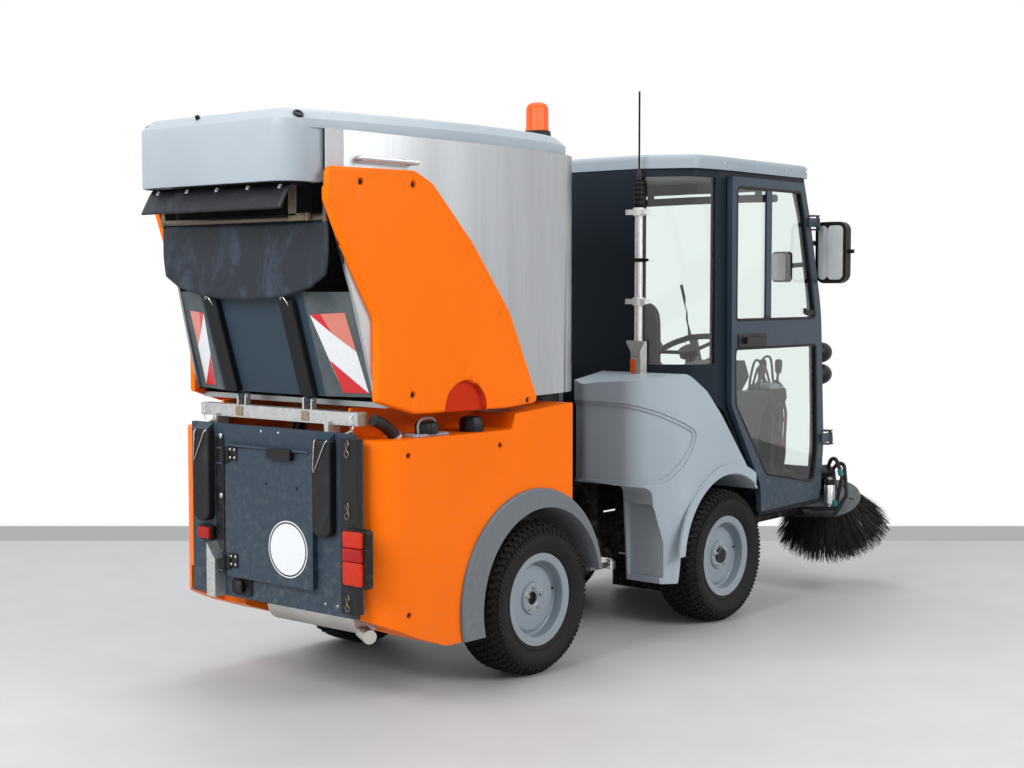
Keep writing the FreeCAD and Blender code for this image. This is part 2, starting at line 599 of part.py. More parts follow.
door_rear = D.frame_rear_x - 1 - D.door_thickness
door = inner_body("door_leaf")
pad(door, sketch(door, "YZ_Plane", [
    (D.door_right_y, D.door_foot_z, 10), (D.door_left_y, D.door_foot_z, 10),
    (D.door_left_y, D.door_top_z, 10), (D.door_right_y, D.door_top_z, 10)], door_rear), "dims.door_thickness")
pad(door, sketch(door, "YZ_Plane", [
    (-174, D.door_top_z - 40, 8), (-53, D.door_top_z - 40, 8), (-53, D.door_top_z - 2, 8),
    (-174, D.door_top_z - 2, 8)], door_rear - 22), "dims.door_thickness + 4")

hinge_x, hinge_y = D.frame_rear_x - 30, D.door_left_y + 6
frame_items = [portal]
door_items = [door]
for low in (444.0, 824.0):
    frame_items.append(rod((hinge_x, hinge_y, low - 10), (hinge_x, hinge_y, low + 50), 5))
    for end in (low - 10, low + 44):
        frame_items.append(box(hinge_x - 9, hinge_y - 5, end, D.frame_rear_x + 4, hinge_y + 22, end + 6))
    ring = fuse([rod((hinge_x, hinge_y, low), (hinge_x, hinge_y, low + 40), 10),
                 box(hinge_x, hinge_y - 30, low, door_rear + 6, hinge_y, low + 40)])
    door_items.append(cut(ring, [rod((hinge_x, hinge_y, low - 5), (hinge_x, hinge_y, low + 45),
                                     5 + D.shaft_gap)]))
frame_items.append(box(D.frame_rear_x - 30, -D.post_outer_y, D.post_foot_z,
                       D.frame_rear_x + 6, -D.post_inner_y, D.post_top_z))
for side in (-1, 1):
    low, high = sorted((side * (D.buffer_inner_y + 5), side * (D.buffer_outer_y - 5)))
    frame_items.append(prism([
        (D.frame_rear_x + 2, D.buffer_top_z + gap), (D.frame_rear_x - D.buffer_depth + 2,
                                                     D.buffer_top_z + gap),
        (D.frame_rear_x - 4, D.frame_top_z - 2), (D.frame_rear_x + 2, D.frame_top_z - 2)], "y", high, low))
keep(fuse(frame_items), "rear_frame")
keep(fuse(door_items), "rear_door")

buffers = []
for side in (-1, 1):
    pad_body = inner_body("buffer")
    low, high = sorted((side * D.buffer_inner_y, side * D.buffer_outer_y))
    drawn = sketch(pad_body, "YZ_Plane", [
        (low, D.buffer_foot_z, 30), (high, D.buffer_foot_z, 30), (high, D.buffer_top_z, 6),
        (low, D.buffer_top_z, 6)], D.frame_rear_x - D.buffer_depth)
    pad(pad_body, drawn, "dims.buffer_depth - dims.seat_gap")
    rear_face = D.frame_rear_x - D.buffer_depth
    rounded(pad_body, 9, lambda e: abs(e.BoundBox.XMax - rear_face) < 0.01)
    buffers.append(pad_body)
keep(together(buffers), "buffers")

# Tail lamps: housings with their lenses standing proud
lamp_rear = D.frame_rear_x - 30 - gap
right_lamp = fuse([
    box(lamp_rear - 28, -D.lamp_outer_y, D.lamp_foot_z, lamp_rear, -D.lamp_inner_y, D.lamp_top_z),
    box(lamp_rear - 38, -D.lamp_outer_y + 12, D.lamp_foot_z + 9, lamp_rear - 28, -D.lamp_inner_y - 16,
        D.lamp_top_z - 10)])
left_lamp = fuse([
    box(D.frame_rear_x - 24, 262, 532, D.frame_rear_x - gap, 340, 586),
    box(D.frame_rear_x - 34, 268, 538, D.frame_rear_x - 24, 334, 580)])
keep(together([right_lamp, left_lamp]), "tail_lamps")

# Cross bar with the hopper's hinge lugs
bar_x = D.tip_axis_x
bar_items = [box(bar_x - D.bar_width / 2, D.bar_right_y, D.bar_top_z - D.bar_height,
                 bar_x + D.bar_width / 2, D.bar_left_y, D.bar_top_z)]
for side in (-1, 1):
    for near in (-20.0, 20.0):
        y = side * D.knuckle_y + near
        bar_items.append(box(bar_x - D.lug_radius, y - 4, D.bar_top_z - 2, bar_x + D.lug_radius, y + 4,
                             D.tip_axis_z))
        bar_items.append(rod((bar_x, y - 4, D.tip_axis_z), (bar_x, y + 4, D.tip_axis_z), D.lug_radius))
    y = side * D.knuckle_y
    bar_items.append(rod((bar_x, y - 28, D.tip_axis_z), (bar_x, y + 28, D.tip_axis_z), D.tip_pin_radius))
    bar_items.append(box(D.body_rear_x, side * 290.0 - 10, 880, bar_x + D.bar_width / 2, side * 290.0 + 10,
                         D.bar_top_z - D.bar_height + 10))
guard_outer = prism([(214, 340), (260, 340), (260, 530), (214, 474)], "x", D.frame_rear_x - 50,
                    D.frame_rear_x - gap)
guard_inner = prism([(218, 330), (256, 330), (256, 523), (218, 472)], "x", D.frame_rear_x - 46,
                    D.frame_rear_x + 5)
keep(together([fuse(bar_items), cut(guard_outer, [guard_inner])]), "cross_bar")

# Silencer
drum_x, drum_z, drum_radius = -790.0, 334.0, 64.0
silencer = fuse([
    rod((drum_x, -410, drum_z), (drum_x, 20, drum_z), drum_radius),
    rod((drum_x, -385, drum_z - 56), (drum_x - 34, -456, drum_z - 62), 24),
    box(drum_x, -D.rail_y - 15, drum_z + 10, D.rail_rear_x, -D.rail_y + 15, drum_z + 40),
    box(drum_x, -35, drum_z + 10, D.rail_rear_x, -5, drum_z + 40)])
keep(silencer, "silencer")

# Caps on the right-hand deck
cap_y = D.deck_cap_inset - D.body_half_width
caps = fuse([
    box(-640, cap_y - 30, D.deck_z, -470, cap_y + 40, D.deck_z + 8),
    rod((-560, cap_y, D.deck_z), (-560, cap_y, D.deck_z + 52), 42)])
cap_small = rod((-330, cap_y, D.deck_z), (-330, cap_y, D.deck_z + 56), 44)
keep(together([caps, cap_small]), "deck_caps")


# Hopper

def hopper_plan(grow, rear_x, rear_radius=0.0):
    """Plan outline of the hopper, straight sides and a rounded nose, grown by a margin."""
    side = D.hopper_half_width + grow
    reach = D.hopper_corner_x + grow * 0.5 - D.hopper_curve_x
    drop = D.hopper_half_width - D.hopper_corner_y
    sweep = (reach ** 2 + drop ** 2) / (2 * drop)
    bow = side - sweep + math.sqrt(sweep ** 2 - (reach / 2) ** 2)
    middle_x = D.hopper_curve_x + reach / 2
    right = [(D.hopper_curve_x, -side),
             (D.hopper_corner_x + grow * 0.5, -D.hopper_corner_y - grow, "via", middle_x, -bow),
             (D.hopper_nose_x + grow * 0.9, -D.hopper_nose_y - grow * 0.4, "via",
              345 + grow * 0.7, -388 - grow * 0.7)]
    nose = [(D.hopper_nose_x + grow * 0.9, D.hopper_nose_y + grow * 0.4, "via", D.hopper_front_x + grow, 0)]
    left = [(D.hopper_corner_x + grow * 0.5, D.hopper_corner_y + grow, "via", 345 + grow * 0.7,
             388 + grow * 0.7),
            (D.hopper_curve_x, side, "via", middle_x, bow)]
    rear = [(rear_x, side, rear_radius), (rear_x, -side, rear_radius)] if rear_radius else \
        [(rear_x, side), (rear_x, -side)]
    return right + nose + left + rear


shell = inner_body("shell")
pad(shell, sketch(shell, "XY_Plane", hopper_plan(0.0, D.hopper_mouth_x), D.hopper_foot_z),
    "dims.hopper_top_z - dims.hopper_foot_z")
pocket(shell, sketch(shell, "XY_Plane", hopper_plan(-D.hopper_wall, D.hopper_mouth_x - 60), D.hopper_top_z),
       "dims.hopper_top_z - dims.hopper_foot_z - dims.hopper_floor")
floor_rear_x = D.tip_axis_x + 30
wall_z = D.tip_axis_z + D.wall_lift
pocket(shell, sketch(shell, "XZ_Plane", [
    (floor_rear_x, D.hopper_foot_z - 20), (floor_rear_x, wall_z), (D.wall_rear_x + 2, wall_z),
    (D.wall_rear_x - D.wall_lean + 2, D.wall_top_z), (D.hopper_mouth_x + 2, D.hopper_mouth_z),
    (D.hopper_mouth_x - 90, D.hopper_mouth_z), (D.hopper_mouth_x - 90, D.hopper_foot_z - 20)]),
    "4 * dims.hopper_half_width", both=True)
mouth = sketch(shell, "YZ_Plane", offset=D.hopper_nose_x - 20, circles=[(0, D.pipe_top_z, D.pipe_radius - 6)])
pocket(shell, mouth, "80", flipped=True)
shell_items = [shell]
for side in (-1, 1):
    y = side * D.ram_y
    for near in (-26.0, 20.0):
        shell_items.append(box(D.ram_eye_x - 20, y + near, D.ram_eye_z, D.ram_eye_x + 20, y + near + 6,
                               D.hopper_foot_z + 4))
        shell_items.append(rod((D.ram_eye_x, y + near, D.ram_eye_z),
                               (D.ram_eye_x, y + near + 6, D.ram_eye_z), 20))
keep(fuse(shell_items), "hopper_shell")

lid = body("hopper_lid")
pad(lid, sketch(lid, "XY_Plane", hopper_plan(D.lid_lap, D.lid_rear_x, D.lid_corner_radius), D.hopper_top_z),
    "dims.lid_top_z - dims.hopper_top_z")
hood_half = D.hopper_half_width + D.lid_lap
hood = [(D.hopper_mouth_x - 1, -hood_half), (D.hopper_mouth_x - 1, hood_half),
        (D.lid_rear_x, hood_half, D.lid_corner_radius), (D.lid_rear_x, -hood_half, D.lid_corner_radius)]
pad(lid, sketch(lid, "XY_Plane", hood, D.hood_foot_z), "dims.hopper_top_z - dims.hood_foot_z + 1")
inner_half = hood_half - D.lid_wall
inner_round = D.lid_corner_radius - D.lid_wall
cavity = [(D.hopper_mouth_x - D.lid_wall, -inner_half), (D.hopper_mouth_x - D.lid_wall, inner_half),
          (D.lid_rear_x + D.lid_wall, inner_half, inner_round),
          (D.lid_rear_x + D.lid_wall, -inner_half, inner_round)]
pocket(lid, sketch(lid, "XY_Plane", cavity, D.hood_foot_z), "dims.hopper_top_z - dims.hood_foot_z",
       flipped=True)
rounded(lid, D.lid_round, lambda e: abs(e.BoundBox.ZMin - D.lid_top_z) < 0.01)


def fairing():
    """The upper side fairing, set on the hopper's side, with a round outer edge."""
    leaf = inner_body("fairing_leaf")
    points = [(-858, 1061, 12), (-858, 1329, 60), (-1003, 1564, 200), (-1077, 1711, 40), (-1076, 1815, 30),
              (-675, 1821, 60), (-591, 1783, 60), (-394, 1591, 300), (-197, 1350, 300), (-35, 1018, 20),
              (-209, 1006, 200), (-678, 1012, 100)]
    pad(leaf, sketch(leaf, "XZ_Plane", points, D.fairing_half_width),
        "dims.fairing_half_width - dims.hopper_half_width - dims.fairing_gap", flipped=True)
    rounded(leaf, 12, lambda e: along_y(e, -D.fairing_half_width))
    hood_side = D.hopper_half_width + D.lid_lap + D.fairing_gap
    hood_seat = box(D.hopper_mouth_x - 60, -hood_side, D.hood_foot_z - 10,
                    D.hopper_mouth_x + 2, -D.hopper_half_width + 10, D.hopper_top_z)
    face = -D.fairing_half_width
    recesses = [rod((x, face - 1, z), (x, face + 10, z), 13)
                for x, z in ((-932, 1771), (-691, 1774), (-696, 1078), (-103, 1029))]
    recesses.append(rod((-433, face - 1, 1014), (-433, face + 21, 1014), 103))
    return cut(leaf, [hood_seat] + recesses)


pair(fairing(), "fairings")

# Leaning rear wall between the fairings, with bevelled sides
inner_side = D.hopper_half_width - D.hopper_wall - 0.3
thick = D.wall_thickness
lean = V(-D.wall_lean, 0, D.wall_top_z - wall_z)
back_wall = inner_body("back_wall")
wall_plan = [
    (D.wall_side_x, -inner_side), (D.wall_side_x, -D.wall_side_y), (D.wall_rear_x, -D.wall_bevel_y),
    (D.wall_rear_x, D.wall_bevel_y), (D.wall_side_x, D.wall_side_y), (D.wall_side_x, inner_side),
    (D.wall_side_x + thick, inner_side), (D.wall_side_x + thick, D.wall_side_y - 4),
    (D.wall_rear_x + thick, D.wall_bevel_y - 8), (D.wall_rear_x + thick, -D.wall_bevel_y + 8),
    (D.wall_side_x + thick, -D.wall_side_y + 4), (D.wall_side_x + thick, -inner_side)]
pad(back_wall, sketch(back_wall, "XY_Plane", wall_plan, wall_z),
    "dims.wall_top_z - dims.tip_axis_z - dims.wall_lift", direction=lean)
wall_items = [back_wall]
for side in (-1, 1):
    low, high = side * D.knuckle_y - 14, side * D.knuckle_y + 14
    knuckle = fuse([rod((D.tip_axis_x, low, D.tip_axis_z), (D.tip_axis_x, high, D.tip_axis_z),
                        D.knuckle_radius),
                    box(D.tip_axis_x - 8, low, D.tip_axis_z, D.tip_axis_x + 6, high, wall_z + 6)])
    wall_items.append(cut(knuckle, [rod((D.tip_axis_x, low - 5, D.tip_axis_z),
                                        (D.tip_axis_x, high + 5, D.tip_axis_z),
                                        D.tip_pin_radius + D.shaft_gap)]))
keep(fuse(wall_items), "hopper_rear_wall")

guides = []
for side in (-1, 1):
    guide = inner_body("guide")
    y0, y1 = side * D.guide_y - D.guide_width / 2, side * D.guide_y + D.guide_width / 2
    drawn = sketch(guide, "XY_Plane", [
        (D.wall_rear_x - D.guide_depth, y0, 5), (D.wall_rear_x - D.guide_depth, y1, 5),
        (D.wall_rear_x, y1), (D.wall_rear_x, y0)], wall_z)
    pad(guide, drawn, "dims.guide_top_z - dims.tip_axis_z - dims.wall_lift", direction=lean)
    guides.append(guide)
keep(together(guides), "hopper_guides")

apron = inner_body("apron")
pad(apron, sketch(apron, "YZ_Plane", [
    (-D.apron_half_width + 30, D.apron_foot_z + 20, D.apron_corner),
    (D.apron_half_width - 30, D.apron_foot_z + 20, D.apron_corner),
    (D.apron_half_width, D.apron_top_z), (-D.apron_half_width, D.apron_top_z)],
    D.apron_x), "dims.apron_thickness")

strip_front = D.hopper_mouth_x - D.lid_wall - 0.3
strip = inner_body("strip")
pad(strip, sketch(strip, "XZ_Plane", [
    (strip_front, D.hood_foot_z + 10), (strip_front - D.strip_thickness, D.hood_foot_z + 10),
    (strip_front - D.strip_thickness - D.strip_lean, D.strip_foot_z),
    (strip_front - D.strip_lean, D.strip_foot_z)]),
    "2 * dims.strip_half_width", both=True)
keep(together([apron, strip]), "discharge_rubber")

rod_x, rod_z = D.apron_x + D.apron_thickness / 2, D.apron_top_z + 12
rod_bar = fuse([rod((rod_x, -440, rod_z), (rod_x, 440, rod_z), 12),
                box(rod_x - 14, -inner_side, rod_z - 16, rod_x + 60, -440, rod_z + 60),
                box(rod_x - 14, 440, rod_z - 16, rod_x + 60, inner_side, rod_z + 60)])
handles = []
for side in (-1, 1):
    y0 = side * D.hopper_half_width
    y1 = side * (D.hopper_half_width + 40)
    handles.append(fuse([
        rod((-925, y0, 1846), (-925, y1, 1846), 9), rod((-680, y0, 1846), (-680, y1, 1846), 9),
        rod((-925, y1, 1846), (-680, y1, 1846), 9)]))
keep(together([rod_bar] + handles), "hopper_rails")

# Tipping rams
base = V(D.ram_base_x, 0, D.ram_base_z)
eye = V(D.ram_eye_x, 0, D.ram_eye_z)
way = (eye - base).normalize()
barrels = []
rods = []
for side in (-1, 1):
    y = side * D.ram_y
    at = lambda p: (p.x, y, p.z)
    barrels.append(cut(fuse([
        rod(at(base), at(base + way * 500), D.ram_radius),
        rod((base.x, y - D.ram_radius, base.z), (base.x, y + D.ram_radius, base.z), 24)]),
        [rod((base.x, y - 40, base.z), (base.x, y + 40, base.z), 12 + D.shaft_gap),
         rod(at(base + way * 50), at(base + way * 510), D.ram_rod_radius + 6)]))
    pin_reach = 20 - gap
    rods.append(fuse([rod(at(base + way * 70), at(eye), D.ram_rod_radius),
                      rod(at(base + way * 70), at(base + way * 95), D.ram_rod_radius + 5),
                      rod((eye.x, y - 16, eye.z), (eye.x, y + 16, eye.z), 18),
                      rod((eye.x, y - pin_reach, eye.z), (eye.x, y + pin_reach, eye.z), 9)]))
keep(together(barrels), "tip_barrels")
keep(together(rods), "tip_rods")


# Front chassis

front_web = D.front_rail_y - 26 - gap
eye_ring = [rod((PIVOT_X, 0, EYE_Z - D.eye_depth / 2), (PIVOT_X, 0, EYE_Z + D.eye_depth / 2), D.eye_radius),
            box(PIVOT_X, -45, EYE_Z - D.eye_depth / 2, D.front_rail_rear_x + 50, 45, EYE_Z + D.eye_depth / 2),
            box(D.front_rail_rear_x, -front_web, RAIL_Z + 4, D.front_rail_rear_x + 50, front_web,
                RAIL_TOP - 4)]
pin_hole = rod((PIVOT_X, 0, EYE_Z - 60), (PIVOT_X, 0, EYE_Z + 60), D.pivot_pin_radius + D.shaft_gap)
members = [cut(fuse(eye_ring), [pin_hole])]
for side in (-1, 1):
    centre = side * D.front_rail_y
    members.append(box(D.front_rail_rear_x, centre - 26, RAIL_Z, D.front_rail_front_x, centre + 26, RAIL_TOP))
    start = side * (D.front_rail_y + 26 + gap)
    members.append(rod((D.arm_pivot_x, start, D.arm_pivot_z),
                       (D.arm_pivot_x, side * (D.arm_pivot_y + 40), D.arm_pivot_z), 14))
    members.append(lash_eye(D.front_rail_front_x - 40, side, D.front_rail_y))
    for x, top in ((D.front_rail_rear_x + 45, D.tank_foot_z), (D.cab_rear_x + 60, D.tub_rear_foot_z),
                   (D.tub_front_x + 40, D.cab_foot_z), (D.front_rail_front_x - 120, D.cab_foot_z)):
        members.append(box(x, centre - 24, RAIL_TOP + gap, x + 56, centre + 24, top))
    members.append(box(D.nozzle_x - 40, centre - 14, D.nozzle_gap + D.nozzle_height,
                       D.nozzle_x + 20, centre + 14, RAIL_Z - gap))
for x in (D.nozzle_x + 5, D.front_rail_front_x - 50):
    members.append(box(x, -front_web, RAIL_Z + 4, x + 50, front_web, RAIL_TOP - 4))
members.append(box(D.steer_eye_x - 26, D.steer_eye_y - 24, D.steer_z + 30,
                   D.steer_eye_x + 26, -D.front_rail_y + 20, RAIL_Z - gap))
keep(together(members), "front_chassis")

# Steering ram
base = V(D.steer_base_x, D.steer_base_y, D.steer_z)
eye = V(D.steer_eye_x, D.steer_eye_y, D.steer_z)
way = (eye - base).normalize()
barrel = cut(fuse([rod(base, base + way * 380, D.steer_radius),
                   rod(base - V(0, 0, 20), base + V(0, 0, 20), 22)]),
             [rod(base - V(0, 0, 40), base + V(0, 0, 40), 11 + D.shaft_gap),
              rod(base + way * 40, base + way * 390, D.steer_rod_radius + 5)])
keep(barrel, "steer_barrel")
stem = fuse([rod(base + way * 190, eye, D.steer_rod_radius), rod(eye - V(0, 0, 18), eye + V(0, 0, 18), 22),
             rod(eye, eye + V(0, 0, 30 - gap), 10),
             rod(base + way * 190, base + way * 210, D.steer_rod_radius + 4)])
keep(stem, "steer_rod")


# Cab

def cab_plan(inset):
    """Plan outline of the cab: flat rear, bent rear corners, straight sides."""
    side, rear = D.cab_half_width - inset, D.cab_rear_x + inset
    right = [(rear, -CAB_REAR_HALF + inset * 0.4, 60), (D.cab_bend_x + inset * 0.8,
                                                        -CAB_BEND_Y + inset * 0.9, 60),
             (D.cab_side_x, -side), (2400, -side)]
    return right + flip(right)


def cab_side(inset):
    """Side outline of the cab, with the bowed windscreen line."""
    top, foot = D.cab_top_z - inset * 0.2, D.cab_foot_z + inset
    return [(D.cab_rear_x - 50, foot), (D.cab_front_foot_x - inset, foot),
            (D.cab_front_low_x - inset, D.cab_front_low_z, 200),
            (D.cab_front_top_x - inset, top, "via", D.cab_front_mid_x - inset, D.cab_front_mid_z),
            (D.cab_rear_x - 50, top)]


def hinge_point(z):
    """The point of the right-hand door's leaning hinge axis at a height."""
    share = (z - D.hinge_low_z) / (D.hinge_top_z - D.hinge_low_z)
    return V(D.hinge_low_x + share * (D.hinge_top_x - D.hinge_low_x), -D.cab_half_width - D.hinge_proud, z)


wide = 700.0
outer_cab = common(prism(cab_plan(0.0), "z", 0, 2100), prism(cab_side(0.0), "y", wide, -wide))
inner_cab = common(prism(cab_plan(D.cab_wall), "z", 0, 2100), prism(cab_side(D.cab_wall), "y", wide, -wide))


def tank_line(lift):
    """Side outline of the space that the cab leaves for tank and wheel, lifted by a margin."""
    return [(D.tank_rear_x, D.tank_top_z + 4 + lift), (D.cab_rear_x, D.tank_top_z + 4 + lift),
            (D.tank_bend_x + 30, D.tank_bend_z - 2 + lift),
            (D.door_rear_x + lift / 2, D.door_knee_z - 30 + lift),
            (D.door_heel_x + lift, D.door_heel_z - 16 + lift / 2), (D.tub_front_x + lift, D.cab_foot_z + 60),
            (D.tub_front_x + lift, 100), (D.tank_rear_x, 100)]


side_cut = []
side_skin = []
for side in (-1, 1):
    low, high = sorted((side * D.tub_half_width, side * wide))
    side_cut.append(prism(tank_line(0.0), "y", low, high))
    low, high = sorted((side * (D.tub_half_width - D.cab_wall), side * wide))
    side_skin.append(prism(tank_line(D.cab_wall), "y", low, high))
below, grown = D.tub_rear_foot_z, D.tub_half_width + D.cab_wall
side_cut.append(box(D.cab_rear_x - 60, -D.tub_half_width, 100, D.tub_step_x, D.tub_half_width, below))
side_skin.append(box(D.cab_rear_x - 60, -grown, 100, D.tub_step_x + D.cab_wall, grown, below + D.cab_wall))
inside_cab = cut(inner_cab, side_skin)
door_hole = [(D.door_rear_x + 20, D.cab_door_top_z - 20), (D.door_rear_x + 24, D.door_knee_z + 10),
             (D.door_heel_x + 18, D.door_heel_z + 8), (D.door_sill_x + 14, D.door_sill_z + 20),
             (2004, D.door_sill_z + 20), (2018, 730, 120), (1990, 1300, 900), (1880, 1750, 300),
             (1822, D.cab_door_top_z - 20)]
rear_glass_hole = [(D.cab_rear_x - 5, -CAB_REAR_HALF - 12), (D.cab_side_x - 12, -CAB_REAR_HALF - 12),
                   (D.cab_side_x - 12, -700), (D.cab_rear_x - 5, -700)]
holes = [prism(door_hole, "y", -wide, -D.cab_half_width + D.cab_wall + 6),
         prism(door_hole, "y", D.cab_half_width - D.cab_wall - 6, wide)]
for points in (rear_glass_hole, flip(rear_glass_hole)):
    holes.append(prism(points, "z", D.tank_top_z + 30, D.cab_door_top_z - 10))
screen_hole = [(-D.cab_half_width + 50, 600), (D.cab_half_width - 50, 600),
               (D.cab_half_width - 50, 1880), (-D.cab_half_width + 50, 1880)]
holes.append(prism(screen_hole, "x", 1780, 2300))
cab = cut(outer_cab, [inside_cab] + side_cut + holes)
cab_items = [cab]
for z in (D.hinge_top_z, D.hinge_low_z):
    for side in (-1, 1):
        low, high = hinge_point(z - 34), hinge_point(z + 34)
        cab_items.append(rod(V(low.x, side * abs(low.y), low.z), V(high.x, side * abs(high.y), high.z), 6))
        for end in (z - 34, z + 28):
            at = hinge_point(end)
            y0, y1 = sorted((side * (abs(at.y) + 8), side * (D.cab_half_width - 4)))
            cab_items.append(box(at.x - 46, y0, end, at.x + 10, y1, end + 6))
seat_box = [(D.tub_step_x - 250, D.tub_rear_foot_z + D.cab_wall - 1),
            (D.tub_step_x + 30, D.tub_rear_foot_z + D.cab_wall - 1),
            (D.tub_step_x + 60, D.seat_z), (D.tub_step_x - 280, D.seat_z)]
cab_items.append(prism(seat_box, "y", -D.seat_width / 2 + 40, D.seat_width / 2 - 40))
keep(fuse(cab_items), "cab_frame")

roof = body("cab_roof")
roof_half = D.cab_half_width + D.roof_lap
right = [(D.cab_rear_x - 6, -CAB_REAR_HALF - 6, 40), (D.cab_bend_x - 8, -CAB_BEND_Y - 12, 60),
         (D.cab_side_x, -roof_half), (D.roof_front_x, -roof_half + 8, 70)]
pad(roof, sketch(roof, "XY_Plane", right + flip(right), D.cab_top_z), "dims.roof_top_z - dims.cab_top_z")
rounded(roof, 24, lambda e: abs(e.BoundBox.ZMin - D.roof_top_z) < 0.01)

# Windscreen and bent rear corner panes
pane_outer = common(prism(cab_plan(8.0), "z", 0, 2100), prism(cab_side(8.0), "y", wide, -wide))
pane_inner = common(prism(cab_plan(8.0 + D.glass_thickness), "z", 0, 2100),
                    prism(cab_side(8.0 + D.glass_thickness), "y", wide, -wide))
pane = cut(pane_outer, [pane_inner])
trim = 0.3
screen_trim = [(-D.cab_half_width + 50 + trim, 600 + trim), (D.cab_half_width - 50 - trim, 600 + trim),
               (D.cab_half_width - 50 - trim, 1880 - trim), (-D.cab_half_width + 50 + trim, 1880 - trim)]
cab_panes = [common(pane, prism(screen_trim, "x", 1790, 2290))]
corner_trim = [(D.cab_rear_x - 5, -CAB_REAR_HALF - 12 - trim),
               (D.cab_side_x - 12 - trim, -CAB_REAR_HALF - 12 - trim),
               (D.cab_side_x - 12 - trim, -690), (D.cab_rear_x - 5, -690)]
for points in (corner_trim, flip(corner_trim)):
    corner = prism(points, "z", D.tank_top_z + 30 + trim, D.cab_door_top_z - 10 - trim)
    cab_panes.append(common(pane, corner))
keep(together(cab_panes), "cab_glass")


# Side tank with mudguard

def tank_plan(inset):
    """Plan outline of the tank and mudguard, with the outer skin moved in."""
    side = D.tank_half_width - inset
    return [(D.tank_rear_x + 20 + inset, -D.tank_inner_y),
            (D.tank_rear_x - 10 + inset, -D.tank_inner_y - 60 + inset / 3, 60),
            (D.guard_rear_x - 92 + inset * 0.7, -400 + inset * 0.7, 150), (D.tank_round_x - 115, -side, 150),
            (1500, -side), (1500, -D.guard_inner_y), (D.cab_rear_x - 2, -D.guard_inner_y),
            (D.cab_rear_x - 2, -D.tank_inner_y)]


def arch_sector(radius, start, end):
    """The part of a disc round the front arch that lies behind one X and above one Z."""
    across = radius + 1
    disc_x, disc_z = D.front_arch_x, D.front_arch_z
    disc = rod((disc_x, -D.tank_half_width - D.arch_lip_proud, disc_z), (disc_x, -D.guard_inner_y, disc_z),
               radius)
    return common(disc, box(disc_x - across, -700, end, start, 0, disc_z + across))


def tank():
    """A moulded tank behind and beside the cab, running down into the mudguard."""
    dx = D.front_arch_radius
    profile = [(D.tank_rear_x - 10, D.tank_foot_z, 60), (D.guard_rear_x - 30, D.tank_foot_z - 10, 40),
               (D.guard_rear_x, D.guard_foot_z, 8), (D.front_arch_x - dx - 6, D.guard_foot_z, 8),
               (D.front_arch_x - dx + 2, D.front_arch_z),
               (D.tank_tip_x, D.tank_tip_z - 12, "via", D.front_arch_x - 30, D.front_arch_z + dx - 1),
               (D.tank_tip_x, D.tank_tip_z, 8), (1184, 898, 300),
               (D.tank_bend_x + 30, D.tank_bend_z - 6, 100),
               (D.cab_rear_x, D.tank_top_z, 60), (D.tank_rear_x - 30, D.tank_top_z - 40, 60)]
    side = prism(profile, "y", -D.tank_half_width, -D.tank_inner_y)
    tub = box(D.tank_rear_x - 60, -D.guard_inner_y, 100, 1500, 0, D.tank_foot_z)
    skin = cut(common(side, prism(tank_plan(0.0), "z", 100, 1200)), [tub])
    scoop_line = [(600, 972), (721, 968, 200), (837, 925, 300), (935, 873, 200), (1006, 834, 30),
                  (972, 770, 60),
                  (914, 690, 80), (858, 630, 80), (600, 628)]
    upper = prism(scoop_line, "y", -700, 0)
    shallow = cut(upper, [prism(tank_plan(D.recess_depth / 2), "z", 100, 1200)])
    deep_line = [(600, 960), (721, 956, 200), (834, 913, 300), (929, 862, 200), (990, 829, 24),
                 (962, 780, 60),
                 (902, 700, 80), (852, 642, 80), (600, 641)]
    deep = cut(prism(deep_line, "y", -700, 0), [prism(tank_plan(D.recess_depth), "z", 100, 1200)])
    scoop_side = 40 - D.tank_half_width
    low_scoop = prism([(scoop_side, 240), (-310, 240), (-310, 545), (scoop_side + 50, 545, 30)], "x",
                      D.guard_rear_x - 60,
                      D.guard_rear_x + 12)
    return cut(skin, [shallow, deep, low_scoop])


def arch_flange():
    """The raised flange round the front wheel arch."""
    outer = arch_sector(D.front_arch_radius + D.arch_lip, 1452, 330)
    inner_disc = rod((D.front_arch_x, -700, D.front_arch_z), (D.front_arch_x, 0, D.front_arch_z),
                     D.front_arch_radius + 4)
    face = box(800, -D.tank_half_width + 2, 100, 1600, 0, 900)
    return cut(outer, [inner_disc, face])


tank_solid = fuse([tank(), arch_flange()])
tank_pad = box(D.tank_rear_x + 60, -D.front_rail_y - 24, D.tank_foot_z, D.tank_rear_x + 70,
               -D.front_rail_y + 24, D.tank_foot_z + 5)
pair(fuse([tank_solid, tank_pad]), "tanks")


# Cab doors

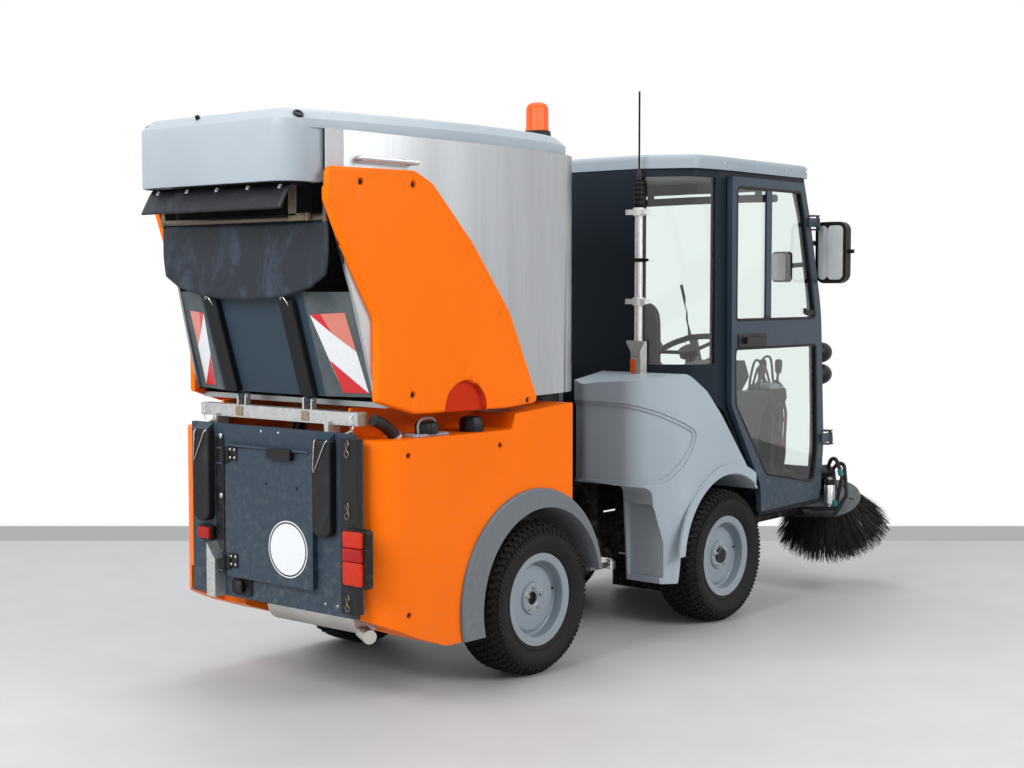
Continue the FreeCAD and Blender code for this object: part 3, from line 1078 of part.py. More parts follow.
def cab_door():
    """A front-hinged door frame with an upper and a lower window."""
    frame = inner_body("door_leaf")
    outer = [(D.door_rear_x, D.cab_door_top_z, 20), (D.door_rear_x + 6, D.door_knee_z, 60),
             (D.door_heel_x, D.door_heel_z, 60), (D.door_sill_x, D.door_sill_z, 10),
             (2020, D.door_sill_z + 10, 60), (2045, 727, 150), (2010, 1330, 900), (1898, 1750, 300),
             (1842, D.cab_door_top_z, 12)]
    y = D.cab_half_width + 5 + D.cab_door_thickness
    pad(frame, sketch(frame, "XZ_Plane", outer, y), "dims.cab_door_thickness", flipped=True)
    head_z = D.cab_door_top_z - 43
    upper = [(D.door_rear_x + D.door_bar, head_z, 16), (D.door_rear_x + D.door_bar, D.rail_high_z, 16),
             (1960, D.rail_high_z, 16), (1850, 1750, 200), (1812, head_z, 16)]
    lower = [(D.door_rear_x + D.door_bar - 8, D.rail_low_z, 16),
             (D.door_rear_x + D.door_bar, D.door_knee_z, 60),
             (D.door_heel_x + 50, D.door_heel_z + 42, 40), (1960, D.door_sill_z + 90, 40), (1985, 700, 100),
             (1966, D.rail_low_z, 16)]
    pocket(frame, sketch(frame, "XZ_Plane", upper, y), "dims.cab_door_thickness")
    pocket(frame, sketch(frame, "XZ_Plane", lower, y), "dims.cab_door_thickness")
    glass = inner_body("pane")
    pane_y = y - 10
    pad(glass, sketch(glass, "XZ_Plane", upper, pane_y), "dims.glass_thickness", flipped=True)
    glass_low = inner_body("pane")
    pad(glass_low, sketch(glass_low, "XZ_Plane", lower, pane_y), "dims.glass_thickness", flipped=True)
    panes = keep(together([glass, glass_low]), "door_glass_right")
    face = -y
    grip_x, grip_z, post_x = D.door_rear_x + 95, D.rail_low_z + 20, D.door_rear_x + 279
    door_items = [frame, box(post_x, face, D.rail_high_z - 6, post_x + 44, face + 9.7, D.cab_door_top_z - 37),
                  box(grip_x - 41, face - 5, grip_z - 14, grip_x + 187, face + 4, grip_z + 42),
                  box(grip_x, face - 22, grip_z, grip_x + 160, face - 12, grip_z + 28)]
    for x in (grip_x, grip_x + 146):
        door_items.append(box(x, face - 14, grip_z, x + 14, face, grip_z + 28))
    for z in (D.hinge_top_z, D.hinge_low_z):
        low, high = hinge_point(z - 22), hinge_point(z + 22)
        beyond = (high - low) * 0.3
        door_items.append(cut(fuse([rod(low, high, 11), prism([
            (low.x - 88, z - 20), (low.x, z - 20), (low.x, z + 20), (low.x - 88, z + 20)], "y", -y - 12,
            -y + 0.5)]),
            [rod(low - beyond, high + beyond, 6 + D.shaft_gap)]))
    return keep(fuse(door_items), "door_right"), panes


frame, panes = cab_door()
mirrored(frame, "door_left")
mirrored(panes, "door_glass_left")

# Seat: cushion, back and headrest, with a console on each side
seat_half = D.seat_width / 2
cushion = inner_body("cushion")
pad(cushion, sketch(cushion, "XY_Plane", [
    (D.seat_x - 110, -seat_half + 10, 40), (D.seat_x + D.seat_depth - 120, -seat_half + 10, 70),
    (D.seat_x + D.seat_depth - 120, seat_half - 10, 70), (D.seat_x - 110, seat_half - 10, 40)],
    D.seat_z), "110")
rounded(cushion, 28, lambda e: abs(e.BoundBox.ZMin - D.seat_z - 110) < 0.01)
backrest = inner_body("backrest")
pad(backrest, sketch(backrest, "YZ_Plane", [
    (-seat_half + 14, D.seat_z + 60, 40), (seat_half - 14, D.seat_z + 60, 40),
    (seat_half - 40, D.seat_z + 480, 90),
    (-seat_half + 40, D.seat_z + 480, 90)], D.seat_x - 190), "95")
rounded(backrest, 24, lambda e: abs(e.BoundBox.XMin - D.seat_x + 95) < 0.01)
headrest = inner_body("headrest")
pad(headrest, sketch(headrest, "YZ_Plane", [
    (-125, D.seat_z + 500, 40), (125, D.seat_z + 500, 40), (125, D.seat_z + 640, 60),
    (-125, D.seat_z + 640, 60)],
    D.seat_x - 185), "80")
rounded(headrest, 22, lambda e: abs(e.BoundBox.XMin - D.seat_x + 105) < 0.01)
stays = [rod((D.seat_x - 145, y, D.seat_z + 440), (D.seat_x - 145, y, D.seat_z + 540), 8) for y in (-60, 60)]
keep(fuse([cushion, backrest, headrest] + stays), "seat")

# Dashboard, column, steering wheel, pedals and the armrest consoles with their levers
dash_foot = D.cab_foot_z + D.cab_wall
column_foot, column_head = V(1870, 0, 860), V(D.column_x, 0, D.column_z)
column_way = (column_head - column_foot).normalize()
ring = doc.addObject("Part::Torus", "ring")
ring.Radius1 = D.wheel_radius
ring.Radius2 = 14
ring.Placement = FreeCAD.Placement(column_head, FreeCAD.Rotation(V(0, 0, 1), column_way))
controls = [box(1860, -190, dash_foot, 1955, 190, 790),
            prism([(1815, 760), (1955, 760), (1955, 905), (1850, 930), (1800, 860)], "y", 170, -170),
            rod(column_foot, column_head, 24), ring,
            rod(column_head - column_way * 12, column_head + column_way * 22, 46)]
spoke_turn = FreeCAD.Rotation(V(0, 0, 1), column_way)
for angle in (90, 210, 330):
    reach = V(math.cos(math.radians(angle)), math.sin(math.radians(angle)), 0) * D.wheel_radius
    controls.append(rod(column_head, column_head + spoke_turn.multVec(reach), 9))
for y in (-120, -60, 110):
    controls.append(rod((1865, y, dash_foot + 120), (1800, y, dash_foot + 60), 8))
    controls.append(box(1788, y - 24, dash_foot + 42, 1806, y + 24, dash_foot + 78))
consoles = []
for side in (-1, 1):
    low, high = sorted((side * (seat_half + 8), side * (seat_half + 98)))
    console = [prism([(D.seat_x - 40, D.seat_z + 60), (D.seat_x + 330, D.seat_z + 60),
                      (D.seat_x + 400, D.seat_z + 130),
                      (D.seat_x + 360, D.seat_z + 205), (D.seat_x + 120, D.seat_z + 215),
                      (D.seat_x - 40, D.seat_z + 190)],
                     "y", high, low),
               rod((D.seat_x + 335, (low + high) / 2, D.seat_z + 190),
                   (D.seat_x + 365, (low + high) / 2, D.seat_z + 300), 9),
               rod((D.seat_x + 361, (low + high) / 2, D.seat_z + 286),
                   (D.seat_x + 372, (low + high) / 2, D.seat_z + 345), 20),
               box(D.seat_x + 40, side * 255.0 - 11, D.tub_rear_foot_z + D.cab_wall + gap,
                   D.seat_x + 100, side * 255.0 + 11, D.seat_z + 70)]
    consoles.append(fuse(console))
keep(together([fuse(controls)] + consoles), "driver_controls")

# Lamps, mirrors and beacon
front_lamps = []
for side in (-1, 1):
    y = side * (D.cab_half_width - 35)
    parts = [box(2040, y - 14, 1010, 2100, y + 14, 1150)]
    for z in (1030.0, 1132.0):
        bulb = doc.addObject("Part::Ellipsoid", "bulb")
        bulb.Radius1 = 66
        bulb.Radius2 = 48
        bulb.Radius3 = 48
        bulb.Placement = FreeCAD.Placement(V(2128, y, z), FreeCAD.Rotation(V(0, 1, 0), 90))
        parts.append(bulb)
    front_lamps.append(cut(fuse(parts), [outer_cab]))
keep(together(front_lamps), "head_lamps")

mirrors = []
for side in (-1, 1):
    y, pillar_y = side * (D.cab_half_width + 85), side * (D.cab_half_width - 15)
    head = inner_body("mirror_head")
    pad(head, sketch(head, "YZ_Plane", [
        (y - 78, 1455, 46), (y + 78, 1455, 46), (y + 78, 1735, 40), (y - 78, 1735, 40)], D.mirror_x), "62")
    rounded(head, 20, lambda e: abs(e.BoundBox.XMin - D.mirror_x - 62) < 0.01)
    arm = fuse([head, rod((D.mirror_x + 60, pillar_y, 1640), (D.mirror_x + 34, y, 1640), 9),
                rod((D.mirror_x - 32, pillar_y - side * 8, 1640), (D.mirror_x + 74, pillar_y, 1640), 12),
                rod((D.mirror_x + 29, y + side * 70, 1600), (D.mirror_x + 29, y + side * 102, 1600), 9)])
    mirrors.append(cut(arm, [outer_cab]))
keep(together(mirrors), "mirrors")

beacon = body("beacon", FreeCAD.Placement(V(1100 - ORIGIN_X, D.cab_half_width - 115, D.roof_top_z),
                                          FreeCAD.Rotation()))
turned(beacon, sketch(beacon, "XZ_Plane", [
    (0, 0), (44, 0), (44, 10, 3), (19, 16, 4), (19, 118), (62, 122, 4), (62, 150, 6), (54, 156),
    (51, 262, 22),
    (26, 282, 30), (0, 284)]))

# Aerial on its pole
pole_y = -CAB_REAR_HALF - 25
pole = fuse([rod((900, pole_y, 1085), (900, pole_y, 1765), 17),
             rod((900, pole_y, 1765), (900, pole_y, 1880), 22),
             rod((900, pole_y, 1880), (900, pole_y, 2245), 4),
             box(880, pole_y - 25, 1050, 925, pole_y + 25, 1210),
             box(884, pole_y - 18, 1366, D.cab_rear_x - D.seat_gap, pole_y + 58, 1388),
             box(884, pole_y - 18, 1737, D.cab_rear_x - D.seat_gap, pole_y + 58, 1759)])
keep(cut(pole, [tank_solid]), "aerial_pole")

# Suction nozzle and pipes
half = D.nozzle_width / 2
nozzle = body("suction_nozzle")
rear, front = D.nozzle_x - D.nozzle_length / 2, D.nozzle_x + D.nozzle_length / 2
pad(nozzle, sketch(nozzle, "XY_Plane", [(rear, -half, 30), (front, -half, 30), (front, half, 30),
                                        (rear, half, 30)],
                   D.nozzle_gap), "dims.nozzle_height")
wall = D.nozzle_wall
pocket(nozzle, sketch(nozzle, "XY_Plane", [
    (rear + wall, -half + wall, 20), (front - wall, -half + wall, 20), (front - wall, half - wall, 20),
    (rear + wall, half - wall, 20)], D.nozzle_gap), "dims.nozzle_height - dims.nozzle_wall", flipped=True)

# The front pipe turns with the cab below the upright rear pipe, on the pivot's own axis
front_pipe = hose([(D.nozzle_x + 2, 0, D.nozzle_gap + D.nozzle_height - 2),
                   (D.nozzle_x - 300, 0, D.pipe_level_z),
                   (PIVOT_X, 0, D.pipe_level_z), (PIVOT_X, 0, D.pipe_split_z - 3)], D.pipe_radius,
                   D.pipe_bend)
keep(cut(front_pipe, [box(D.nozzle_x - 300, -200, 0, D.nozzle_x + 100, 200, D.nozzle_gap + D.nozzle_height)]),
     "suction_pipe")
rear_pipe = hose([(PIVOT_X, 0, D.pipe_split_z + 3), (PIVOT_X, 0, D.pipe_top_z),
                  (D.pipe_rear_x - 20, 0, D.pipe_top_z)],
                 D.pipe_radius, D.pipe_bend)
keep(cut(rear_pipe, [box(D.pipe_rear_x - 60, -200, 900, D.pipe_rear_x, 200, 1300)]), "hopper_pipe")


# Brushes and their arms

def brush():
    """A disc brush: carrier plate, hub and two rings of bristle tufts, drawn level at the origin."""
    rings = []
    plate_z = D.bristle_length
    rings.append(rod((0, 0, plate_z), (0, 0, plate_z + D.plate_thickness), D.plate_radius))
    rings.append(rod((0, 0, plate_z + D.plate_thickness), (0, 0, plate_z + D.plate_thickness + 46), 42))
    count = int(D.tufts)
    for ring, (top, reach) in enumerate(((D.plate_radius - 22, D.brush_radius),
                                         (D.plate_radius - 60, D.brush_radius - 70))):
        for k in range(count):
            angle = 2 * math.pi * (k + ring / 2) / count
            rings.append(tuft(angle, top, reach, plate_z + 4))
    return rings


def tuft(angle, top, reach, height):
    """One tuft, a tapered wedge that spreads towards its tip."""
    faces = []
    for radius, z, wide, deep in ((top, height, 13.0, 12.0), (reach - 10, 0.0, 27.0, 20.0)):
        points = []
        for across, out in ((-wide, -deep / 2), (wide, -deep / 2), (wide, deep / 2), (-wide, deep / 2)):
            r = radius + out
            x = r * math.cos(angle) - across * math.sin(angle)
            y = r * math.sin(angle) + across * math.cos(angle)
            points.append(V(x, y, z))
        faces.append(Part.makePolygon(points + points[:1]))
    wedge = doc.addObject("Part::Feature", "tuft")
    wedge.Shape = Part.makeLoft(faces, True, True)
    return wedge


brush_rotation = FreeCAD.Rotation(V(0, 0, 1), BRUSH_AXIS)
brush_centre = V(D.brush_x, -D.brush_y, D.brush_tip_z)
brush_place = FreeCAD.Placement(brush_centre - V(ORIGIN_X, 0, 0), brush_rotation)
brush_right = keep(fuse(brush()), "brush_right", brush_place)
mirrored(brush_right, "brush_left")

hub_top = brush_centre + BRUSH_AXIS * (D.bristle_length + D.plate_thickness + 46 + gap)
motor_top = hub_top + BRUSH_AXIS * 96
pivot = V(D.arm_pivot_x, -D.arm_pivot_y, D.arm_pivot_z)
knee = V(D.arm_pivot_x + 300, -D.arm_pivot_y - 60, D.arm_pivot_z + 20)
head = hub_top + BRUSH_AXIS * 60
can = V(2110, -545, 430)
arm_items = [rod(hub_top, motor_top, 48), rod(head, knee, D.arm_radius),
             rod(knee, pivot, D.arm_radius), rod(pivot - V(0, 30, 0), pivot + V(0, 30, 0), 34),
             box(can.x - 10, can.y, can.z + 40, can.x + 30, can.y + 105, can.z + 62),
             rod(can, can + V(0, 0, 110), 24)]
loops = (((2159, -493, 545), (2150, -540, 665), (2118, -606, 560), (2108, -576, 404), (2050, -405, 400)),
         ((2165, -500, 548), (2185, -575, 640), (2122, -628, 470), (2088, -580, 372), (2040, -405, 366)))
arm_solid = fuse(arm_items)
hoses = keep(together([cut(hose(loop, 9, 28), [arm_solid]) for loop in loops]), "motor_hoses_right")
mirrored(hoses, "motor_hoses_left")
arm = cut(arm_solid, [rod(pivot - V(0, 60, 0), pivot + V(0, 60, 0), 14 + D.shaft_gap)])
brush_arm = keep(arm, "brush_arm_right")
mirrored(brush_arm, "brush_arm_left")


# Check and write

doc.recompute()
faults = []
for item in doc.Objects:
    if "Invalid" in item.State or "Error" in item.State:
        faults.append("%s %s: %s" % (item.Label, item.TypeId, item.State))
labels = [item.Label for item in made]
if len(set(labels)) != len(labels):
    faults.append("two sub-parts share a label")
for item in made:
    if item.Shape.isNull() or not item.Shape.isValid():
        faults.append("%s has no valid shape" % item.Label)
if faults:
    raise RuntimeError("; ".join(faults))
os.makedirs("parts", exist_ok=True)
for item in made:
    item.Shape.exportStep(os.path.join("parts", item.Label + ".step"))
print("%d sub-parts written" % len(made))
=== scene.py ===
import bpy
import bmesh
import math
import random
from mathutils import Matrix, Vector


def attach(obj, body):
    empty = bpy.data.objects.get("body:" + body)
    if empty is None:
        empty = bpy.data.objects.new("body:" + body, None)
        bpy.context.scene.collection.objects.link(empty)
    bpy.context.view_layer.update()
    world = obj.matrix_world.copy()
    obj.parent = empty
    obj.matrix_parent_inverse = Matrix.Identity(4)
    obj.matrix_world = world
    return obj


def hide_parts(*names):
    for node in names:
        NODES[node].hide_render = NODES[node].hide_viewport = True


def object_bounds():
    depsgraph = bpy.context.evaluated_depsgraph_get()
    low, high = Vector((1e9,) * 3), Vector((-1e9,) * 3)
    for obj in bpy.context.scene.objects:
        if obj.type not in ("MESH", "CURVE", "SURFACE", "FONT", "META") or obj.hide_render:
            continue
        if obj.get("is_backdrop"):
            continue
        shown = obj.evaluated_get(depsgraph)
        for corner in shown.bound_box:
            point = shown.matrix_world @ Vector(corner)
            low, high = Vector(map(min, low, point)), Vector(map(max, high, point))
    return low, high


# Street sweeper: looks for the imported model, in metres; pieces are measured from the rear axle's foot

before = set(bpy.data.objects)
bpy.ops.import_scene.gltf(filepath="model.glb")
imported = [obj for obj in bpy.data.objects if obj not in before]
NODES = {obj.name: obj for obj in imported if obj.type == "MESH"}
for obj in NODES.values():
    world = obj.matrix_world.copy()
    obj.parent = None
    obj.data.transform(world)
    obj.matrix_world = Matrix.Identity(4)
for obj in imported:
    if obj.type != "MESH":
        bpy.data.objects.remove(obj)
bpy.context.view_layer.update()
ORIGIN_X = 0.682
FORWARD, LEFT, UP, REARWARD = (1, 0, 0), (0, 1, 0), (0, 0, 1), (-1, 0, 0)
SIDES = (("right", -1), ("left", 1))


# Camera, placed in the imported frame

FOCAL = 56.15
HEADING = math.radians(40.18)
PITCH = math.radians(3.42)
EYE = Vector((-5.216, -4.208, 1.431))

camera_data = bpy.data.cameras.new("view")
camera_data.lens = FOCAL
camera_data.sensor_width = 36.0
camera_data.clip_end = 200.0
camera = bpy.data.objects.new("view", camera_data)
bpy.context.scene.collection.objects.link(camera)
ahead = Vector((math.cos(HEADING) * math.cos(PITCH), math.sin(HEADING) * math.cos(PITCH), -math.sin(PITCH)))
camera.location = EYE
camera.rotation_euler = ahead.to_track_quat("-Z", "Y").to_euler()
bpy.context.scene.camera = camera
bpy.context.scene.view_settings.view_transform = "Standard"


# Materials

def srgb(red, green, blue):
    """A display colour from 0 to 255 as linear light."""
    def line(value):
        value /= 255.0
        return value / 12.92 if value <= 0.04045 else ((value + 0.055) / 1.055) ** 2.4
    return (line(red), line(green), line(blue), 1.0)


def scaled(colour, factor):
    return tuple(min(1.0, c * factor) for c in colour[:3]) + (1.0,)


def add_node(tree, kind, inputs, output, **settings):
    """Adds a node and gives one output; an input is a value or another output."""
    made = tree.nodes.new("ShaderNode" + kind)
    for key, value in settings.items():
        setattr(made, key, value)
    for key, value in inputs.items():
        if isinstance(value, bpy.types.NodeSocket):
            tree.links.new(value, made.inputs[key])
        else:
            made.inputs[key].default_value = value
    return made.outputs[output]


class Look:
    """A procedural material under construction."""

    def __init__(self, name):
        self.material = bpy.data.materials.new(name)
        self.material.use_nodes = True
        self.tree = self.material.node_tree
        self.shader = self.tree.nodes["Principled BSDF"]
        self.coords = self.node("TexCoord", {}, "Object")

    def link(self, source, target):
        self.tree.links.new(source, target)

    def node(self, kind, inputs, output, **settings):
        return add_node(self.tree, kind, inputs, output, **settings)

    def set(self, **values):
        for key, value in values.items():
            self.shader.inputs[key.replace("_", " ")].default_value = value

    def stretched(self, x, y, z, rotation=(0.0, 0.0, 0.0)):
        """Coordinates scaled along the axes, for grain and streaks."""
        return self.node("Mapping", {"Vector": self.coords, "Scale": (x, y, z), "Rotation": rotation},
                         "Vector")

    def noise(self, scale, detail=4.0, rough=0.55, vector=None, distortion=0.0):
        return self.node("TexNoise", {"Vector": vector or self.coords, "Scale": scale, "Detail": detail,
                                      "Roughness": rough, "Distortion": distortion}, "Fac")

    def cells(self, scale, feature="F1"):
        return self.node("TexVoronoi", {"Vector": self.coords, "Scale": scale}, "Distance", feature=feature)

    def waves(self, scale, distortion=0.0, direction="Z"):
        return self.node("TexWave", {"Vector": self.coords, "Scale": scale, "Distortion": distortion}, "Fac",
                         bands_direction=direction)

    def levels(self, value, low, high, to_low=0.0, to_high=1.0, kind="LINEAR"):
        return self.node("MapRange", {"Value": value, "From Min": low, "From Max": high, "To Min": to_low,
                                      "To Max": to_high}, "Result", interpolation_type=kind)

    def axis(self, name):
        """One coordinate of the surface point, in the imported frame."""
        return self.node("SeparateXYZ", {"Vector": self.coords}, name)

    def calc(self, kind, first, second):
        return self.node("Math", {0: first, 1: second}, "Value", operation=kind)

    def blend(self, factor, first, second):
        """A mix of two colours, each a colour or a socket."""
        return self.node("Mix", {"Factor": factor, 6: first, 7: second}, 2, data_type="RGBA")

    def where(self, axis, edge, above=True):
        """1 on one side of a plane across an axis, measured from the rear axle."""
        place = edge - ORIGIN_X if axis == "X" else edge
        return self.calc("GREATER_THAN" if above else "LESS_THAN", self.axis(axis), place)

    def recolour(self, mask, colour):
        """Lays another colour over the base colour where the mask is 1."""
        before = self.shader.inputs["Base Color"].links[0].from_socket
        self.colour(self.blend(mask, before, colour))

    def colour(self, socket):
        self.link(socket, self.shader.inputs["Base Color"])

    def roughness(self, socket):
        self.link(socket, self.shader.inputs["Roughness"])

    def bump(self, height, depth, strength=1.0):
        """Adds a bump on top of those already there; depth is in metres."""
        inputs = {"Height": height, "Distance": depth, "Strength": strength}
        before = self.shader.inputs["Normal"].links
        if before:
            inputs["Normal"] = before[0].from_socket
        self.link(self.node("Bump", inputs, "Normal"), self.shader.inputs["Normal"])


def moulded(name, colour, rough, coat=0.0, grain=0.00012, dust=0.25, glare=0.3):
    """Moulded or painted skin: fine grain, soft waviness, faint dust towards the floor."""
    look = Look(name)
    look.set(Coat_Weight=coat, Coat_Roughness=0.18, Specular_IOR_Level=glare)
    patch = look.levels(look.noise(2.2, 3.0), 0.3, 0.7)
    tone = look.blend(patch, scaled(colour, 0.94), scaled(colour, 1.04))
    low = look.levels(look.axis("Z"), 0.25, 1.1, 1.0, 0.0)
    speck = look.levels(look.noise(38.0, 6.0, 0.7), 0.5, 0.75)
    film = look.calc("MULTIPLY", look.calc("MULTIPLY", low, speck), dust)
    look.colour(look.blend(film, tone, srgb(150, 142, 130)))
    look.roughness(look.levels(look.noise(16.0, 5.0), 0.3, 0.7, rough - 0.05, rough + 0.06))
    look.bump(look.noise(900.0, 2.0), grain)
    look.bump(look.noise(5.0, 2.0), 0.0012, 0.35)
    return look


def brushed(name, colour, rough, streak):
    """Sheet steel with fine upright brushing and broad soft streaks."""
    look = Look(name)
    look.set(Metallic=1.0)
    fine = look.noise(260.0, 5.0, 0.6, look.stretched(1.0, 1.0, streak))
    broad = look.noise(5.5, 3.0, 0.5, look.stretched(1.0, 1.0, 0.06))
    tone = look.blend(look.levels(broad, 0.3, 0.7), scaled(colour, 0.86), scaled(colour, 1.08))
    look.colour(look.blend(look.levels(fine, 0.35, 0.65, 0.0, 0.35), tone, scaled(colour, 0.7)))
    look.roughness(look.levels(fine, 0.3, 0.7, rough - 0.06, rough + 0.1))
    look.bump(fine, 0.00008)
    return look


def zinc(name, colour, rough=0.42):
    """Zinc plating with its spangle."""
    look = Look(name)
    look.set(Metallic=0.85)
    spangle = look.levels(look.cells(70.0), 0.0, 0.6)
    look.colour(look.blend(spangle, scaled(colour, 0.85), scaled(colour, 1.1)))
    look.roughness(look.levels(look.noise(40.0, 5.0), 0.3, 0.7, rough - 0.08, rough + 0.12))
    look.bump(look.noise(120.0, 4.0), 0.0001)
    return look


def rubber(name, colour, rough=0.62, scuff=0.35, scale=9.0, dust=srgb(96, 98, 100)):
    """Black rubber with grey scuffs and a fine pebble."""
    look = Look(name)
    look.set(Specular_IOR_Level=0.3)
    marks = look.noise(scale, 8.0, 0.72, look.stretched(1.0, 1.0, 0.6), 1.2)
    look.colour(look.blend(look.levels(marks, 0.5, 0.72, 0.0, scuff), colour, dust))
    look.roughness(look.levels(marks, 0.3, 0.75, rough - 0.1, rough + 0.18))
    look.bump(look.noise(420.0, 3.0), 0.00025)
    look.bump(marks, 0.0008, 0.4)
    return look


def glass(name):
    look = Look(name)
    look.set(Transmission_Weight=1.0, IOR=1.45, Base_Color=(0.90, 0.95, 0.93, 1.0))
    look.roughness(look.levels(look.noise(14.0, 4.0), 0.45, 0.75, 0.0, 0.035))
    return look


def lens(name, colour):
    """A ribbed lamp lens."""
    look = Look(name)
    look.set(Coat_Weight=0.2, Coat_Roughness=0.08, Specular_IOR_Level=0.2)
    ribs = look.waves(90.0, 0.0, "Y")
    look.colour(look.blend(look.levels(look.noise(60.0), 0.3, 0.7), scaled(colour, 0.8), colour))
    look.roughness(look.levels(ribs, 0.0, 1.0, 0.12, 0.3))
    look.bump(ribs, 0.0008)
    return look


def woven(name, colour):
    look = Look(name)
    look.set(Sheen_Weight=0.4, Sheen_Roughness=0.5)
    weave = look.calc("MULTIPLY", look.waves(420.0, 0.3, "X"), look.waves(420.0, 0.3, "Y"))
    look.colour(look.blend(look.levels(weave, 0.0, 1.0), scaled(colour, 0.5), scaled(colour, 1.6)))
    look.roughness(look.levels(look.noise(20.0), 0.3, 0.7, 0.75, 0.95))
    look.bump(weave, 0.0004)
    return look


def reflective(name, colour):
    """Reflective sheet with its comb of small cells."""
    look = Look(name)
    look.set(Coat_Weight=0.3, Coat_Roughness=0.2)
    comb = look.cells(240.0, "DISTANCE_TO_EDGE")
    look.colour(look.blend(look.levels(comb, 0.0, 0.12), scaled(colour, 0.8), colour))
    look.roughness(look.levels(look.noise(20.0), 0.3, 0.7, 0.3, 0.5))
    look.bump(comb, 0.0002)
    return look


def mirror(name):
    look = Look(name)
    look.set(Metallic=0.35, Coat_Weight=0.6, Coat_Roughness=0.04)
    silver = look.levels(look.noise(9.0, 3.0), 0.3, 0.7)
    look.colour(look.blend(silver, srgb(214, 219, 222), srgb(232, 236, 238)))
    look.roughness(look.levels(look.noise(30.0), 0.3, 0.7, 0.10, 0.2))
    return look


ORANGE = (0.93, 0.158, 0.0, 1.0)
GREY = srgb(146, 157, 165)
SLATE = srgb(40, 56, 69)
BLACK = srgb(14, 15, 17)

LOOKS = {
    "orange": moulded("orange_moulding", ORANGE, 0.4, 0.06, 0.00010, 0.12, 0.1),
    "fairing": moulded("orange_fairings_recess_shade", ORANGE, 0.4, 0.06, 0.00010, 0.12, 0.1),
    "grey": moulded("grey_moulding", GREY, 0.44, 0.05, 0.00018, 0.3),
    "lid": moulded("lid_moulding", srgb(158, 168, 175), 0.44, 0.05, 0.00018, 0.2),
    "tank": moulded("tank_moulding", srgb(161, 172, 180), 0.44, 0.05, 0.00018, 0.3),
    "arch": moulded("grey_arches", srgb(104, 109, 114), 0.5, 0.0, 0.00018, 0.35),
    "slate": moulded("slate_coat", SLATE, 0.42, 0.05, 0.00022, 0.35),
    "post": moulded("slate_with_post", SLATE, 0.42, 0.1, 0.00022, 0.35),
    "door": moulded("slate_with_handle", SLATE, 0.4, 0.15, 0.00022, 0.3),
    "leaf": moulded("slate_leaf", SLATE, 0.38, 0.15, 0.00022, 0.3),
    "bevel": moulded("slate_dusty_sides", SLATE, 0.5, 0.0, 0.0004, 0.4),
    "cab": moulded("cab_slate", srgb(26, 35, 44), 0.42, 0.0, 0.00022, 0.2, 0.12),
    "black_paint": moulded("black_coat", srgb(16, 16, 18), 0.46, 0.0, 0.0003, 0.4, 0.25),
    "plastic": moulded("black_plastic", BLACK, 0.42, 0.0, 0.0003, 0.2, 0.25),
    "plate": moulded("brush_plate_coat", srgb(84, 90, 94), 0.5, 0.0, 0.0005, 0.5),
    "pale": moulded("pale_plastic", srgb(216, 217, 215), 0.45, 0.0, 0.0002, 0.1),
    "teal": moulded("teal_clamp", srgb(20, 120, 118), 0.4, 0.2, 0.0001, 0.1),
    "rim": moulded("rim_lacquer", srgb(134, 144, 152), 0.36, 0.15, 0.00015, 0.3),
    "iron": moulded("cast_iron", srgb(52, 52, 50), 0.62, 0.0, 0.0009, 0.5),
    "steel": brushed("stainless_sheet", (0.47, 0.485, 0.50, 1.0), 0.34, 0.02),
    "muffler": brushed("muffler_steel", (0.58, 0.56, 0.53, 1.0), 0.42, 1.0),
    "zinc": zinc("zinc_plate", (0.50, 0.51, 0.50, 1.0)),
    "pole": zinc("pole_zinc", (0.60, 0.60, 0.58, 1.0)),
    "rails": zinc("rail_zinc", (0.50, 0.51, 0.52, 1.0), 0.34),
    "chrome": zinc("bright_rod", (0.75, 0.75, 0.76, 1.0), 0.16),
    "bright": zinc("bright_steel", (0.56, 0.57, 0.58, 1.0), 0.3),
    "wire": zinc("drawn_wire", (0.36, 0.36, 0.36, 1.0), 0.35),
    "brass": zinc("bracket_finish", (0.30, 0.24, 0.17, 1.0), 0.5),
    "rubber": rubber("plain_rubber", srgb(18, 18, 20), 0.55, 0.2),
    "strip": rubber("strip_rubber", srgb(22, 25, 30), 0.45, 0.3, 5.0, srgb(92, 102, 116)),
    "apron": rubber("apron_rubber", srgb(26, 33, 42), 0.5, 0.5, 6.0, srgb(78, 94, 110)),
    "tyre": rubber("tyre_rubber", srgb(8, 8, 9), 0.72, 0.08, 30.0),
    "bristle": rubber("bristle_black", srgb(18, 19, 21), 0.45, 0.15, 40.0),
    "glass": glass("safety_glass"),
    "mirror": mirror("mirror_glass"),
    "red": lens("red_lens", srgb(168, 10, 2)),
    "tail": lens("tail_lens", srgb(200, 38, 2)),
    "amber": lens("amber_lens", srgb(248, 92, 4)),
    "dome": lens("amber_dome", srgb(255, 96, 4)),
    "board": reflective("reflective_board", srgb(222, 224, 227)),
    "board_red": reflective("reflective_red", srgb(200, 12, 18)),
    "board_pale": reflective("reflective_dusty", srgb(208, 120, 104)),
    "cloth": woven("seat_weave", srgb(34, 34, 36)),
}

FRAME_FACE = -0.878
DOOR_FACE = -0.899
POST_SIDE = -0.4066
HANDLE_SIDE = 0.5463
LID_EDGE = 1.740

post = LOOKS["post"]
post.recolour(post.calc("MULTIPLY", post.where("Y", POST_SIDE, False),
                        post.where("X", FRAME_FACE - 0.0006, False)), BLACK)
door = LOOKS["door"]
proud = door.calc("MAXIMUM", door.where("Y", -HANDLE_SIDE, False), door.where("Y", HANDLE_SIDE))
door.recolour(door.calc("MULTIPLY", proud, door.where("X", 1.562, False)), BLACK)
leaf = LOOKS["leaf"]
leaf.recolour(leaf.where("X", DOOR_FACE - 0.0015, False), BLACK)
pole = LOOKS["pole"]
pole.recolour(pole.where("Z", 1.766), BLACK)

